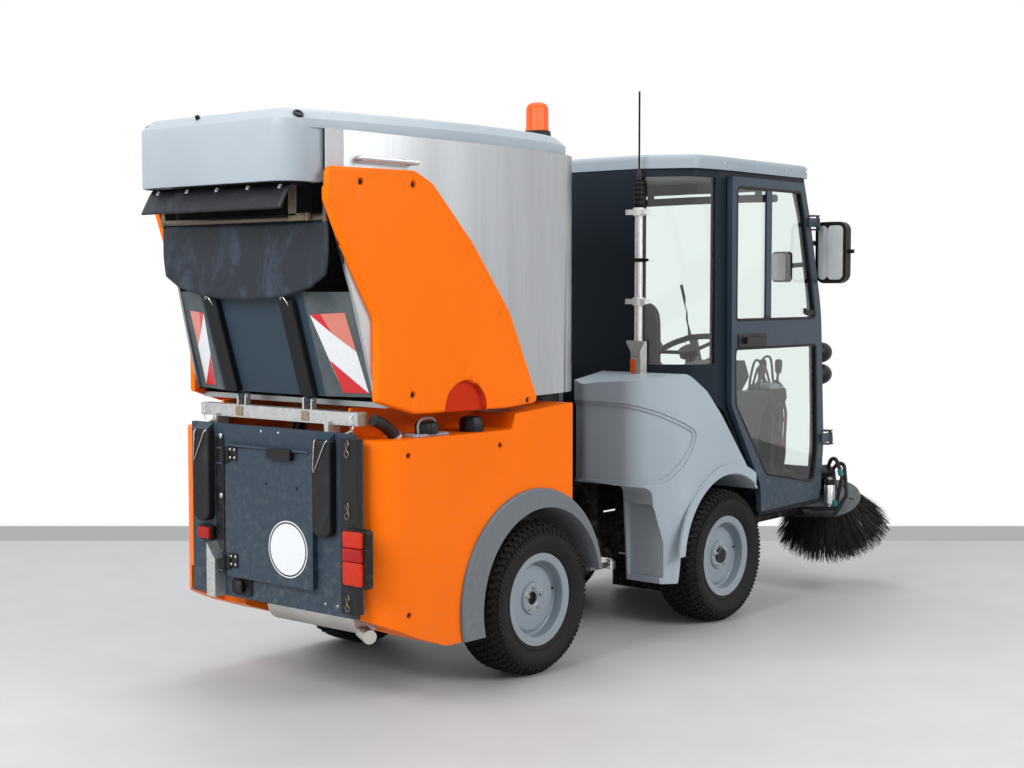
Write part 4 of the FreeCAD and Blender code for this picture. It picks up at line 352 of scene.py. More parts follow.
BEVEL_SIDE = 0.2655
bevel = LOOKS["bevel"]
flank = bevel.calc("MAXIMUM", bevel.where("Y", -BEVEL_SIDE, False), bevel.where("Y", BEVEL_SIDE))
dust = bevel.levels(bevel.noise(11.0, 7.0, 0.7), 0.35, 0.7, 0.35, 0.95)
bevel.recolour(bevel.calc("MULTIPLY", flank, dust), srgb(92, 98, 97))

# The half-round recess at the fairings' foot gets painted shade: a darker orange stands in for the shadow in
# the recess
RECESS_X, RECESS_Z, RECESS_RADIUS = -0.4257, 1.0131, 0.102
fairing = LOOKS["fairing"]
along = fairing.calc("SUBTRACT", fairing.axis("X"), RECESS_X - ORIGIN_X)
rise = fairing.calc("SUBTRACT", fairing.axis("Z"), RECESS_Z)
away = fairing.calc("ADD", fairing.calc("MULTIPLY", along, along), fairing.calc("MULTIPLY", rise, rise))
fairing.recolour(fairing.levels(away, RECESS_RADIUS ** 2 + 0.0001, RECESS_RADIUS ** 2 - 0.0001),
                 srgb(190, 44, 6))

# The steel's rear edges are painted below the lid, and the rod behind the handles is brown
steel = LOOKS["steel"]
painted = steel.calc("MULTIPLY", steel.where("X", -0.918, False), steel.where("Z", LID_EDGE, False))
steel.recolour(painted, srgb(30, 40, 48))
steel.link(steel.where("X", -0.918), steel.shader.inputs["Metallic"])
rails = LOOKS["rails"]
rails.recolour(rails.where("X", -0.930, False), (0.16, 0.135, 0.105, 1.0))

DRESS = {
    "orange": ("body_panels", "fairings"), "grey": ("hopper_lid", "cab_roof"), "tank": ("tanks",),
    "arch": ("fenders",), "leaf": ("rear_door",), "cab": ("cab_frame",), "post": ("rear_frame",),
    "door": ("door_right", "door_left"), "bevel": ("hopper_rear_wall",),
    "black_paint": ("rear_chassis", "rear_axle", "front_chassis", "front_axle", "tip_barrels",
                    "suction_nozzle", "steer_barrel", "brush_arm_right", "brush_arm_left"),
    "plastic": ("deck_caps", "hopper_guides", "driver_controls", "head_lamps", "mirrors", "tail_lamps"),
    "iron": ("engine_block",), "steel": ("hopper_shell",), "muffler": ("silencer",),
    "zinc": ("cross_bar", "hopper_rails"), "pole": ("aerial_pole",), "chrome": ("tip_rods", "steer_rod"),
    "rim": ("rim_rear_right", "rim_rear_left", "rim_front_right", "rim_front_left"),
    "rubber": ("buffers", "suction_pipe", "hopper_pipe", "motor_hoses_right", "motor_hoses_left"),
    "apron": ("discharge_rubber",),
    "tyre": ("tyre_rear_right", "tyre_rear_left", "tyre_front_right", "tyre_front_left"),
    "glass": ("cab_glass", "door_glass_right", "door_glass_left"),
    "amber": ("beacon",), "cloth": ("seat",), "bristle": ("brush_right", "brush_left"),
}
for look, names in DRESS.items():
    for name in names:
        NODES[name].data.materials.clear()
        NODES[name].data.materials.append(LOOKS[look].material)


# Mesh helpers

def piece(name, form, look, body, smooth=38.0, bevel=0.0, segments=2, replaced=()):
    """Makes an object of a bmesh, gives it its material and lets it ride on a body."""
    for corner in form.verts:
        corner.co.x -= ORIGIN_X
    bmesh.ops.recalc_face_normals(form, faces=form.faces)
    mesh = bpy.data.meshes.new(name)
    form.to_mesh(mesh)
    form.free()
    made = bpy.data.objects.new(name, mesh)
    bpy.context.scene.collection.objects.link(made)
    mesh.materials.append(LOOKS[look].material)
    for face in mesh.polygons:
        face.use_smooth = True
    mesh.set_sharp_from_angle(angle=math.radians(smooth))
    if bevel:
        rounding = made.modifiers.new("rounding", "BEVEL")
        rounding.width = bevel
        rounding.segments = segments
        rounding.limit_method = "ANGLE"
        rounding.harden_normals = True
    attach(made, body)
    if replaced:
        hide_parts(*replaced)
    return made


def simple(name, look, body, shape, smooth=38.0, bevel=0.0, replaced=()):
    """A piece of one shape, given as its maker with the measures."""
    maker, *measures = shape
    form = bmesh.new()
    maker(form, *measures)
    piece(name, form, look, body, smooth, bevel, replaced=replaced)


def loft(form, rings, closed=True, caps=True):
    """Joins rings of points, each with the same count, into a skin."""
    rows = [[form.verts.new(point) for point in ring] for ring in rings]
    count = len(rows[0])
    last = count if closed else count - 1
    for near, far in zip(rows, rows[1:]):
        for k in range(last):
            form.faces.new((near[k], near[(k + 1) % count], far[(k + 1) % count], far[k]))
    if caps and closed:
        form.faces.new(rows[0])
        form.faces.new(rows[-1])


def axes(direction):
    """Two unit vectors across a direction."""
    direction = Vector(direction).normalized()
    helper = Vector(UP) if abs(direction.z) < 0.9 else Vector(FORWARD)
    first = direction.cross(helper).normalized()
    return first, direction.cross(first).normalized()


def lathe(form, profile, centre, direction, steps=32, flute=0.0, flutes=0, caps=True):
    """Turns a profile of (radius, height) round an axis; flutes notch its side."""
    centre, direction = Vector(centre), Vector(direction).normalized()
    u, v = axes(direction)
    rings = []
    for radius, height in profile:
        ring = []
        for k in range(steps):
            angle = 2 * math.pi * k / steps
            reach = radius * (1 - (flute if flutes and (k * flutes // steps) % 2 else 0.0))
            ring.append(centre + direction * height + (u * math.cos(angle) + v * math.sin(angle)) * reach)
        rings.append(ring)
    loft(form, rings, caps=caps)


def plate(form, outline, origin, u, v, depth):
    """A flat plate: outline in the plane of u and v, with its thickness along u x v."""
    origin, u, v = Vector(origin), Vector(u).normalized(), Vector(v).normalized()
    normal = u.cross(v).normalized()
    near = [origin + u * a + v * b for a, b in outline]
    loft(form, [near, [point + normal * depth for point in near]])


def slab(form, low, high):
    """A block between two corners."""
    outline = [(low[0], low[1]), (high[0], low[1]), (high[0], high[1]), (low[0], high[1])]
    plate(form, outline, (0, 0, low[2]), FORWARD, LEFT, high[2] - low[2])


def smooth_path(points, steps=8):
    """A Catmull-Rom curve through the points."""
    points = [Vector(point) for point in points]
    padded = [points[0] * 2 - points[1]] + points + [points[-1] * 2 - points[-2]]
    path = []
    for a, b, c, d in zip(padded, padded[1:], padded[2:], padded[3:]):
        for k in range(steps):
            t = k / steps
            path.append(0.5 * ((2 * b) + (c - a) * t + (2 * a - 5 * b + 4 * c - d) * t * t
                               + (3 * b - a - 3 * c + d) * t ** 3))
    path.append(points[-1])
    return path


def tube(form, points, radius, sides=10, curved=True):
    """A round wire, pipe or seal along a path."""
    path = smooth_path(points) if curved else [Vector(point) for point in points]
    u, v = axes(path[1] - path[0])
    rings = []
    for k, point in enumerate(path):
        onward = (path[min(k + 1, len(path) - 1)] - path[max(k - 1, 0)]).normalized()
        u = (u - onward * u.dot(onward)).normalized()
        v = onward.cross(u)
        rings.append([point + (u * math.cos(a) + v * math.sin(a)) * radius
                      for a in (2 * math.pi * n / sides for n in range(sides))])
    loft(form, rings)


def bolt(form, at, out, radius=0.008, height=0.006):
    """A hexagon head on its washer."""
    lathe(form, [(radius * 1.35, 0.0), (radius * 1.35, height * 0.25)], at, out, 20)
    lathe(form, [(radius, height * 0.25), (radius, height * 0.8), (radius * 0.8, height)], at, out, 6)


def screw(form, at, out, radius=0.008, height=0.003):
    """A round button head."""
    lathe(form, [(radius, 0.0), (radius, height * 0.4), (radius * 0.75, height * 0.85),
                 (radius * 0.3, height), (radius * 0.28, height * 0.5)], at, out, 18)


def rounded_outline(width, height, radius, steps=6):
    """A rectangle with round corners about the middle."""
    points = []
    for cx, cy, start in ((1, -1, -90), (1, 1, 0), (-1, 1, 90), (-1, -1, 180)):
        for k in range(steps + 1):
            angle = math.radians(start + 90 * k / steps)
            points.append((cx * (width / 2 - radius) + radius * math.cos(angle),
                           cy * (height / 2 - radius) + radius * math.sin(angle)))
    return points


# Hopper: its sides bow inwards towards the rear, as in the photograph

HOPPER_HALF, HOPPER_MIDDLE = 0.512, 1.431
BOW_DEPTH, BOW_START, BOW_LENGTH = 0.087, -0.15, 0.927
FLAT_HALF = 0.30
BEVEL_OUTER, WALL_LIP = 0.425, 0.0747
RAIL_SIDE, ROD_END = 0.506, 0.40


def side_inset(x):
    """How far the bowed side lies inside the straight one."""
    return BOW_DEPTH * max(0.0, (BOW_START - x) / BOW_LENGTH) ** 2


def bowed(point, drawn=0.9):
    """A point of the straight sided hopper, moved onto the bowed one."""
    outer = min(1.0, max(0.0, (abs(point.y) - FLAT_HALF) / (HOPPER_HALF - FLAT_HALF)))
    inset = side_inset(point.x) * outer * outer * (3 - 2 * outer)
    return Vector((point.x + drawn * inset, math.copysign(abs(point.y) - inset, point.y),
                   HOPPER_MIDDLE + (point.z - HOPPER_MIDDLE) * (1 + 0.27 * inset)))


def bowed_shell(point):
    return bowed(point, 0.78)


def bowed_wall(point):
    """The rear wall keeps its bevels, and its outer edges follow the bowed sides."""
    share = min(1.0, max(0.0, (abs(point.y) - BEVEL_OUTER) / WALL_LIP))
    return Vector((point.x, math.copysign(abs(point.y) - side_inset(point.x) * share, point.y), point.z))


def bowed_rails(point):
    """The grab handles follow the sides, and the rod ends between them."""
    if abs(point.y) > RAIL_SIDE:
        return bowed(point)
    beyond = max(0.0, abs(point.y) - ROD_END)
    return Vector((point.x, math.copysign(abs(point.y) - 0.74 * beyond, point.y), point.z))


def reshaped(node, name, look, move, low, high, step=0.035):
    """A piece in a node's form, sliced across its length and moved point by point."""
    form = bmesh.new()
    form.from_mesh(NODES[node].data)
    bmesh.ops.remove_doubles(form, verts=form.verts, dist=1e-6)
    for k in range(int((high - low) / step) + 1):
        parts = form.verts[:] + form.edges[:] + form.faces[:]
        bmesh.ops.bisect_plane(form, geom=parts, plane_co=(low + k * step - ORIGIN_X, 0, 0), plane_no=FORWARD)
    for corner in form.verts:
        corner.co = move(corner.co + Vector((ORIGIN_X, 0, 0)))
    made = piece(name, form, look, "hopper", 30.0, replaced=(node,))
    shading = made.modifiers.new("shading", "WEIGHTED_NORMAL")
    shading.keep_sharp = True
    return made


reshaped("hopper_shell", "steel_shell", "steel", bowed_shell, -1.03, BOW_START)
reshaped("fairings", "side_fairings", "fairing", bowed, -1.06, BOW_START)
reshaped("hopper_rear_wall", "rear_wall", "bevel", bowed_wall, -0.90, -0.75)
reshaped("hopper_rails", "rails", "rails", bowed_rails, -0.92, -0.68, 0.06)

LID_HALF, LID_ROUND, LID_REAR = 0.400, 0.090, -1.124
LID_FOOT, LID_STEP = 1.9454, 0.0109
HOOD_FRONT, HOOD_SIDE = -0.9757, 0.4085


def lid_corner(inset=0.0):
    """The round rear right corner in plan."""
    radius = LID_ROUND - inset
    turns = [math.radians(180 + 9 * k) for k in range(11)]
    return [(LID_REAR + LID_ROUND + radius * math.cos(turn), LID_ROUND - LID_HALF + radius * math.sin(turn))
            for turn in turns]


def lid_plan():
    """The lid's outline in plan, from the rear right corner round the nose."""
    right = lid_corner()
    for k in range(15):
        beside = bowed_shell(Vector((-1.02 + 0.70 * k / 14, -HOPPER_HALF, 0.0)))
        right.append((beside.x, beside.y + 0.022))
    nose = smooth_path([(-0.27, -0.4885, 0), (-0.10, -0.4815, 0), (0.06, -0.4625, 0), (0.205, -0.434, 0),
                        (0.330, -0.370, 0), (0.399, -0.243, 0), (0.421, -0.12, 0), (0.425, 0.0, 0)], 5)
    right += [(point.x, point.y) for point in nose]
    return right + [(x, -y) for x, y in reversed(right[:-1])]


def lid_ring(plan, inset, height=None, flange=0.0):
    """The plan drawn in by an inset, at a height or on top of the steel."""
    ring = []
    for k, (x, y) in enumerate(plan):
        back, forth = plan[k - 1], plan[(k + 1) % len(plan)]
        along = Vector((forth[0] - back[0], forth[1] - back[1], 0)).normalized()
        reach = inset - flange * min(1.0, max(0.0, (x + 0.975) / 0.03))
        rise = LID_STEP * min(1.0, max(0.0, 0.49 - abs(y)) / 0.08) if x < -0.3 else 0.0
        ring.append(Vector((x - along.y * reach, y + along.x * reach, height or LID_FOOT - LID_STEP + rise)))
    return ring


plan = lid_plan()
simple("lid_top", "lid", "hopper",
       (loft, [lid_ring(plan, 0.0, None, 0.018), lid_ring(plan, 0.0), lid_ring(plan, 0.0, 1.970),
               lid_ring(plan, 0.0012, 1.9735), lid_ring(plan, 0.004, 1.976), lid_ring(plan, 0.030, 1.999),
               lid_ring(plan, 0.037, 2.0045), lid_ring(plan, 0.047, 2.0085),
               lid_ring(plan, 0.062, 2.0105)]), 24.0, replaced=("hopper_lid",))


def hood_ring(inset, height):
    """The rear hood's outline, drawn in by an inset."""
    right = lid_corner(inset) + [(HOOD_FRONT - inset, inset - HOOD_SIDE)]
    return [Vector((x, y, height)) for x, y in right + [(x, -y) for x, y in reversed(right)]]


simple("lid_hood", "lid", "hopper",
       (loft, [hood_ring(0.0, LID_FOOT), hood_ring(0.0, 1.7775), hood_ring(0.001, 1.7745),
               hood_ring(0.004, 1.773), hood_ring(0.011, 1.773), hood_ring(0.013, 1.778),
               hood_ring(0.014, 1.925)]), 30.0)
plugs = bmesh.new()
for side in (-1, 1):
    lathe(plugs, [(0.0175, -0.004), (0.0175, 0.002), (0.0155, 0.0045), (0.012, 0.0045), (0.010, 0.001),
                  (0.003, 0.001)], (-1.058, side * 0.3835, 1.9875), (-0.10, side * 0.66, 0.74), 28)
lathe(plugs, [(0.008, -0.006), (0.008, 0.006), (0.005, 0.009)], (-1.098, 0.070, 2.001), (-0.4, 0, 0.9), 16)
piece("lid_plugs", plugs, "plastic", "hopper", 40.0)
simple("strip_carrier", "black_paint", "hopper", (slab, (-1.068, -0.357, 1.7655), (-0.977, 0.357, 1.7725)),
       30.0, 0.001)


# Tyres with their block tread

AXLE_Z = 0.284
HALF_TRACK = 0.427
WHEELBASE = 1.265
WHEEL_FACE = HALF_TRACK + 0.048
NUT_CIRCLE = 0.044
GROOVE = 0.0085
BLOCKS = 58
BLOCK_WIDTH = 0.0306
BLOCK = ((-0.5, -0.38), (-0.17, -0.10), (0.17, -0.46), (0.5, -0.20), (0.5, 0.36), (0.17, 0.10), (-0.17, 0.46),
         (-0.5, 0.18))
BLOCK_ROWS = ((-0.084, 0.0), (-0.050, 0.5), (-0.0165, 0.0), (0.0165, 0.5), (0.050, 0.0), (0.084, 0.5))
LUGS = 90
LUG_RADIUS, LUG_SIDE, LUG_LIFT = 0.2455, 0.1005, 0.0035


def crown(across):
    """The tyre's outer radius at a distance from its middle plane."""
    across = abs(across)
    line = ((0.0, 0.2838), (0.045, 0.2832), (0.072, 0.2805), (0.094, 0.2665), (0.106, 0.242))
    for (x0, r0), (x1, r1) in zip(line, line[1:]):
        if across <= x1:
            return r0 + (r1 - r0) * (across - x0) / (x1 - x0)
    return line[-1][1]


def tyre_mesh(name, x, side, body):
    """A tyre with its tread blocks and shoulder lugs."""
    form = bmesh.new()
    centre = Vector((x, side * HALF_TRACK, AXLE_Z))
    section = [(0.153, -0.080), (0.171, -0.083), (0.179, -0.092), (0.186, -0.0955), (0.190, -0.0935),
               (0.205, -0.101), (0.226, -0.1045), (0.236, -0.1040), (0.252, -0.0985)]
    inner = [(crown(a) - GROOVE, a) for a in (-0.088, -0.07, -0.045, 0.0, 0.045, 0.07, 0.088)]
    lathe(form, section + inner + [(r, -a) for r, a in reversed(section)], centre, LEFT, 120, caps=False)
    pitch = 2 * math.pi / BLOCKS
    for row, (middle, stagger) in enumerate(BLOCK_ROWS):
        lean = 0.86 if row % 2 else -0.86
        for k in range(BLOCKS):
            rings = []
            for lift, share in ((-0.010, 1.0), (0.0, 0.9)):
                ring = []
                for a, b in BLOCK:
                    across = middle + a * BLOCK_WIDTH * share
                    turn = (k + stagger + (b * lean + 0.25 * a) * share) * pitch
                    reach = crown(across) + lift
                    ring.append(centre + Vector((reach * math.cos(turn), across, reach * math.sin(turn))))
                rings.append(ring)
            loft(form, rings)
    for face in (-1, 1):
        shift = Vector((0, face * LUG_LIFT, 0))
        for k in range(LUGS):
            turn = 2 * math.pi * k / LUGS
            out = Vector((math.cos(turn), 0, math.sin(turn)))
            along = Vector((-math.sin(turn), 0, math.cos(turn)))
            lug = centre + out * LUG_RADIUS + Vector((0, face * LUG_SIDE, 0))
            ring = [lug + along * du + out * dv for du, dv in
                    ((-0.0045, -0.011), (0.0045, -0.011), (0.0045, 0.011), (-0.0045, 0.011))]
            loft(form, [[point - shift for point in ring], [point + shift for point in ring]])
    piece(name, form, "tyre", body, 30.0, replaced=("tyre_" + body[6:],))


for end, x in (("rear", 0.0), ("front", WHEELBASE)):
    for hand, side in SIDES:
        body = "wheel_%s_%s" % (end, hand)
        tyre_mesh("tread_%s_%s" % (end, hand), x, side, body)
        face_y = side * WHEEL_FACE
        nuts = bmesh.new()
        for k in range(5):
            angle = math.radians(90 + 72 * k)
            spot = Vector((side * math.cos(angle), 0, math.sin(angle))) * NUT_CIRCLE
            bolt(nuts, spot + Vector((x, face_y + side * 0.006, AXLE_Z)), (0, side, 0), 0.0095, 0.013)
        piece("wheel_nuts_%s_%s" % (end, hand), nuts, "zinc", body, 30.0)
        hub = bmesh.new()
        if end == "front":
            lathe(hub, [(0.0325, 0.0), (0.0325, 0.020), (0.029, 0.024), (0.010, 0.0255)],
                  (x, face_y - side * 0.001, AXLE_Z), (0, side, 0), 36, 0.05, 36)
            piece("hub_cap_%s" % hand, hub, "plastic", body, 30.0)
        else:
            lathe(hub, [(0.0245, -0.004), (0.0245, 0.003), (0.020, 0.0035), (0.018, -0.002), (0.006, -0.002)],
                  (x, face_y - side * 0.004, AXLE_Z), (0, side, 0), 36)
            piece("hub_seal_%s" % hand, hub, "plastic", body, 30.0)
        simple("valve_%s_%s" % (end, hand), "rubber", body,
               (tube, [(x + 0.125, face_y - side * 0.03, AXLE_Z + 0.02),
                       (x + 0.122, face_y + side * 0.004, AXLE_Z + 0.02)], 0.0045, 8, False))


# Brushes: disc plate and bristles

BRUSH_TILT, BRUSH_LEAN = math.radians(28), math.radians(8)
BRISTLES = 3400
HAIR_CORNERS = (0.0, 2.1, 4.2)
BRISTLE_ROOT, ROOT_BAND = 0.084, 0.056


def brush_centre(side):
    """The middle of a brush's foot."""
    return Vector((2.315, side * 0.452, 0.272))


def brush_axis(side):
    """The brush's axle, which tilts back and outwards at its top."""
    return Vector((-math.sin(BRUSH_TILT), side * math.sin(BRUSH_LEAN) * math.cos(BRUSH_TILT),
                   math.cos(BRUSH_TILT) * math.cos(BRUSH_LEAN))).normalized()


def brush_mesh(hand, side):
    """A brush's plate with its bolts, and its bristles."""
    chance = random.Random(11 if side > 0 else 7)
    centre = brush_centre(side)
    axis = brush_axis(side)
    u, v = axes(axis)
    body = "brush_" + hand
    disc = bmesh.new()
    lathe(disc, [(0.02, 0.176), (0.147, 0.176), (0.149, 0.180), (0.149, 0.186), (0.143, 0.191),
                 (0.060, 0.192), (0.052, 0.200), (0.043, 0.204), (0.041, 0.236), (0.02, 0.237)], centre,
          axis, 64)
    for k in range(6):
        angle = math.pi * k / 3
        spot = centre + axis * 0.1915 + (u * math.cos(angle) + v * math.sin(angle)) * 0.112
        bolt(disc, spot, axis, 0.009, 0.008)
    piece("brush_plate_" + hand, disc, "plate", body, 35.0, replaced=("brush_" + hand,))
    hair = bmesh.new()
    for k in range(BRISTLES):
        angle = chance.uniform(0, 2 * math.pi)
        start = chance.uniform(BRISTLE_ROOT, BRISTLE_ROOT + ROOT_BAND)
        share = (start - BRISTLE_ROOT) / ROOT_BAND
        reach = 0.188 + 0.086 * share + chance.uniform(-0.012, 0.004)
        tip_angle = angle + chance.gauss(0, 0.035)
        length = chance.uniform(-0.004, 0.016)
        thick = chance.uniform(0.0011, 0.0017)
        rings = []
        for t, grow in ((0.0, 1.0), (0.4, 1.0), (0.75, 0.9), (1.0, 0.55)):
            radius = start + (reach - start) * (t ** 1.25)
            height = 0.178 * (1 - t) ** 0.92 + length * t
            way = angle + (tip_angle - angle) * t
            out = u * math.cos(way) + v * math.sin(way)
            cross = axis.cross(out)
            spot = centre + axis * height + out * radius
            rings.append([spot + (out * math.cos(a) + cross * math.sin(a)) * thick * grow
                          for a in HAIR_CORNERS])
        loft(hair, rings, caps=False)
    piece("bristles_" + hand, hair, "bristle", body, 180.0)


for hand, side in SIDES:
    brush_mesh(hand, side)
    arm = "brush_arm_" + hand
    simple("accumulator_" + hand, "bright", arm,
           (lathe, [(0.010, -0.03), (0.012, -0.004), (0.0246, 0.0), (0.0246, 0.085), (0.021, 0.092),
                    (0.012, 0.096), (0.012, 0.120), (0.006, 0.122)], (2.110, side * 0.545, 0.428), UP, 32),
           35.0)
    clamps = bmesh.new()
    for spot, way in (((2.1105, side * 0.600, 0.575), (-0.15, -side * 0.2, 1)),
                      ((2.108, side * 0.577, 0.43), UP)):
        lathe(clamps, [(0.0125, -0.014), (0.0125, 0.014)], spot, way, 20)
    piece("hose_clamps_" + hand, clamps, "teal", arm, 35.0, 0.001)
    motor = bmesh.new()
    way = brush_axis(side)
    hub = brush_centre(side) + way * 0.334
    u, v = axes(way)
    lathe(motor, [(0.046, 0.0), (0.046, 0.004), (0.038, 0.006), (0.036, 0.020), (0.028, 0.024),
                  (0.012, 0.025)], hub, way, 36)
    for k in range(4):
        angle = math.pi * (k + 0.5) / 2
        spot = hub + way * 0.004 + (u * math.cos(angle) + v * math.sin(angle)) * 0.041
        bolt(motor, spot, way, 0.0055, 0.007)
    piece("motor_cap_" + hand, motor, "black_paint", arm, 35.0)


# Hatched boards on the hopper's bevelled sides

BEVEL_FOOT, BEVEL_RISE, BEVEL_DRAW = 1.069, 0.351, -0.105
BEVEL_INNER = Vector((-0.836, 0.265, 0))
BEVEL_EDGE = Vector((-0.782, BEVEL_OUTER, 0))


def on_bevel(side, share, z, lift):
    """A point on the bevelled side of the hopper's rear wall; share runs from its inner edge out."""
    mirror_y = Vector((1, side, 1))
    across = (BEVEL_EDGE - BEVEL_INNER) * mirror_y
    up = Vector((BEVEL_DRAW, 0, BEVEL_RISE))
    out = (up.cross(across) * side).normalized()
    foot = BEVEL_INNER * mirror_y + across * share + Vector((0, 0, BEVEL_FOOT))
    return foot + up * ((z - BEVEL_FOOT) / BEVEL_RISE) + out * lift


for hand, side in SIDES:
    for name, look, corners in (
            ("board_field", "board", ((0.06, 1.345), (0.84, 1.352), (0.98, 1.083), (0.42, 1.083))),
            ("board_top", "board_red", ((0.06, 1.345), (0.30, 1.3475), (0.46, 1.283))),
            ("board_side", "board_pale", ((0.30, 1.3475), (0.84, 1.352), (0.907, 1.2225), (0.46, 1.283))),
            ("board_foot", "board_red", ((0.28, 1.192), (0.98, 1.083), (0.42, 1.083)))):
        form = bmesh.new()
        near = [on_bevel(side, share, z, 0.0004) for share, z in corners]
        lift = 0.0016 if look == "board" else 0.0022
        far = [on_bevel(side, share, z, lift) for share, z in corners]
        loft(form, [near, far])
        piece("%s_%s" % (name, hand), form, look, "hopper", 30.0)


# Rubber apron and strip over the hopper's mouth

def hanging(name, look, columns, rows, point, thickness, replaced=()):
    """A rubber sheet; point takes -1 to 1 across and 0 to 1 down."""
    form = bmesh.new()
    grid = [[Vector(point(-1 + 2 * i / columns,
                          j / rows)) for i in range(columns + 1)] for j in range(rows + 1)]
    loft(form, grid, closed=False, caps=False)
    made = piece(name, form, look, "hopper", 60.0, replaced=replaced)
    thick = made.modifiers.new("thickness", "SOLIDIFY")
    thick.thickness = thickness
    thick.offset = 0.0


chance = random.Random(3)
swell = [chance.uniform(-1, 1) for k in range(8)]
APRON_TOP, APRON_FACE, APRON_HALF = 1.648, -0.9705, 0.424


def apron_point(a, t):
    """The apron waves a little and its foot rises to the sides."""
    y = a * (APRON_HALF - 0.012 * max(0.0, (t - 0.55) / 0.45) ** 1.6)
    foot = 1.392 + 0.36 * y * y + 0.30 * max(0.0, abs(y) - 0.34)
    wave = sum(w * math.sin((k + 1) * 1.3 * a + k) for k, w in enumerate(swell)) / 8
    x = APRON_FACE + 0.0028 * wave * t + 0.0022 * math.sin(9 * a) * t ** 2
    return x, y, APRON_TOP + (foot - APRON_TOP) * t


def strip_point(a, t):
    """The strip leans back from its bolts."""
    x = -1.0655 - 0.050 * t ** 0.85 + 0.0012 * math.sin(7 * a + 1) * t
    return x, a * (0.357 + 0.002 * t), 1.769 - 0.083 * t


hanging("rubber_apron", "apron", 48, 20, apron_point, 0.0065, ("discharge_rubber",))
hanging("rubber_strip", "strip", 40, 8, strip_point, 0.006)

hardware = bmesh.new()
for y in (-0.314, -0.157, 0.0, 0.157, 0.314):
    bolt(hardware, (-1.0735, y, 1.755), (-1, 0, -0.15), 0.0085, 0.008)
piece("strip_bolts", hardware, "zinc", "hopper", 30.0)

bracket = bmesh.new()
slab(bracket, (-0.9985, -0.3025, 1.668), (-0.994, -0.264, 1.792))
slab(bracket, (-0.9985, -0.356, 1.652), (-0.982, -0.264, 1.676))
bolt(bracket, (-0.9985, -0.283, 1.775), REARWARD, 0.008, 0.007)
tube(bracket, [(-1.012, -0.338, 1.664), (-0.975, -0.338, 1.664)], 0.006, 10, False)
bolt(bracket, (-0.9985, -0.338, 1.664), REARWARD, 0.009, 0.010)
piece("rod_bracket", bracket, "brass", "hopper", 30.0, 0.001)

hooks = bmesh.new()
for y in (-0.195, 0.195):
    tube(hooks, [(-0.955, y + 0.02, 1.392), (-0.962, y + 0.012, 1.404), (-0.966, y - 0.006, 1.400),
                 (-0.962, y - 0.018, 1.384), (-0.950, y - 0.014, 1.372)], 0.0022, 8)
piece("guide_hooks", hooks, "bright", "hopper", 60.0)

# Fastenings on the panels

panel_screws = bmesh.new()
for side in (-1, 1):
    for x, z in ((-0.718, 0.876), (-0.718, 0.339), (-0.250, 0.876)):
        screw(panel_screws, (x, side * 0.5285, z), (0, side, 0), 0.0075, 0.004)
piece("panel_screws", panel_screws, "plastic", "rear_module")
fairing_screws = bmesh.new()
for side in (-1, 1):
    for x, z in ((-0.932, 1.771), (-0.691, 1.774), (-0.696, 1.078), (-0.103, 1.029)):
        screw(fairing_screws, bowed(Vector((x, side * 0.5315, z))), (-0.15, side, 0), 0.009, 0.005)
piece("fairing_screws", fairing_screws, "plastic", "hopper")


# Rear door, frame and lamps

SPEED_DISC = (DOOR_FACE + 0.0002, -0.139, 0.543)
simple("blank_disc", "board", "rear_door",
       (lathe, [(0.098, 0.0), (0.098, 0.0016)], SPEED_DISC, REARWARD, 72))
sign = bmesh.new()
lathe(sign, [(0.0885, 0.0014), (0.0885, 0.0022), (0.0935, 0.0022), (0.0935, 0.0014)],
      SPEED_DISC, REARWARD, 72, caps=False)
piece("disc_ring", sign, "plastic", "rear_door")

HINGE_FEET = (0.449, 0.827)
hinges = bmesh.new()
for low in HINGE_FEET:
    slab(hinges, (DOOR_FACE - 0.004, 0.121, low), (DOOR_FACE + 0.0004, 0.168, low + 0.05))
piece("hinge_plates", hinges, "plastic", "rear_door", 30.0, 0.001)
heads = bmesh.new()
for low in HINGE_FEET:
    for y in (0.133, 0.156):
        for z in (low + 0.011, low + 0.039):
            screw(heads, (DOOR_FACE - 0.0038, y, z), REARWARD, 0.0052, 0.003)
piece("hinge_screws", heads, "wire", "rear_door")

simple("edge_strip", "plastic", "rear_module",
       (plate, [(0.216, 0.40), (0.262, 0.40), (0.262, 0.905), (0.216, 0.905)], (FRAME_FACE + 0.0002, 0, 0),
        LEFT, UP, -0.004), 30.0, 0.001)
heads = bmesh.new()
for z in (0.9085, 0.695, 0.381):
    screw(heads, (FRAME_FACE - 0.0038, 0.232, z), REARWARD, 0.010, 0.005)
for y, z in ((0.02, 0.936), (-0.07, 0.936), (-0.36, 0.372), (-0.30, 0.372)):
    screw(heads, (FRAME_FACE, y, z), REARWARD, 0.005, 0.0025)
piece("frame_screws", heads, "wire", "rear_module")

simple("door_rail", "slate", "rear_door",
       (tube, [(DOOR_FACE - 0.004, 0.165, 0.880), (DOOR_FACE - 0.007, 0.16, 0.882),
               (DOOR_FACE - 0.007, -0.24, 0.882), (DOOR_FACE - 0.004, -0.245, 0.880)], 0.0045, 10, False))
dots = bmesh.new()
for y, z in ((-0.029, 0.760), (-0.185, 0.756)):
    lathe(dots, [(0.0055, 0.0), (0.0055, 0.0012), (0.003, 0.002)], (DOOR_FACE, y, z), REARWARD, 16)
piece("door_plugs", dots, "plastic", "rear_door")

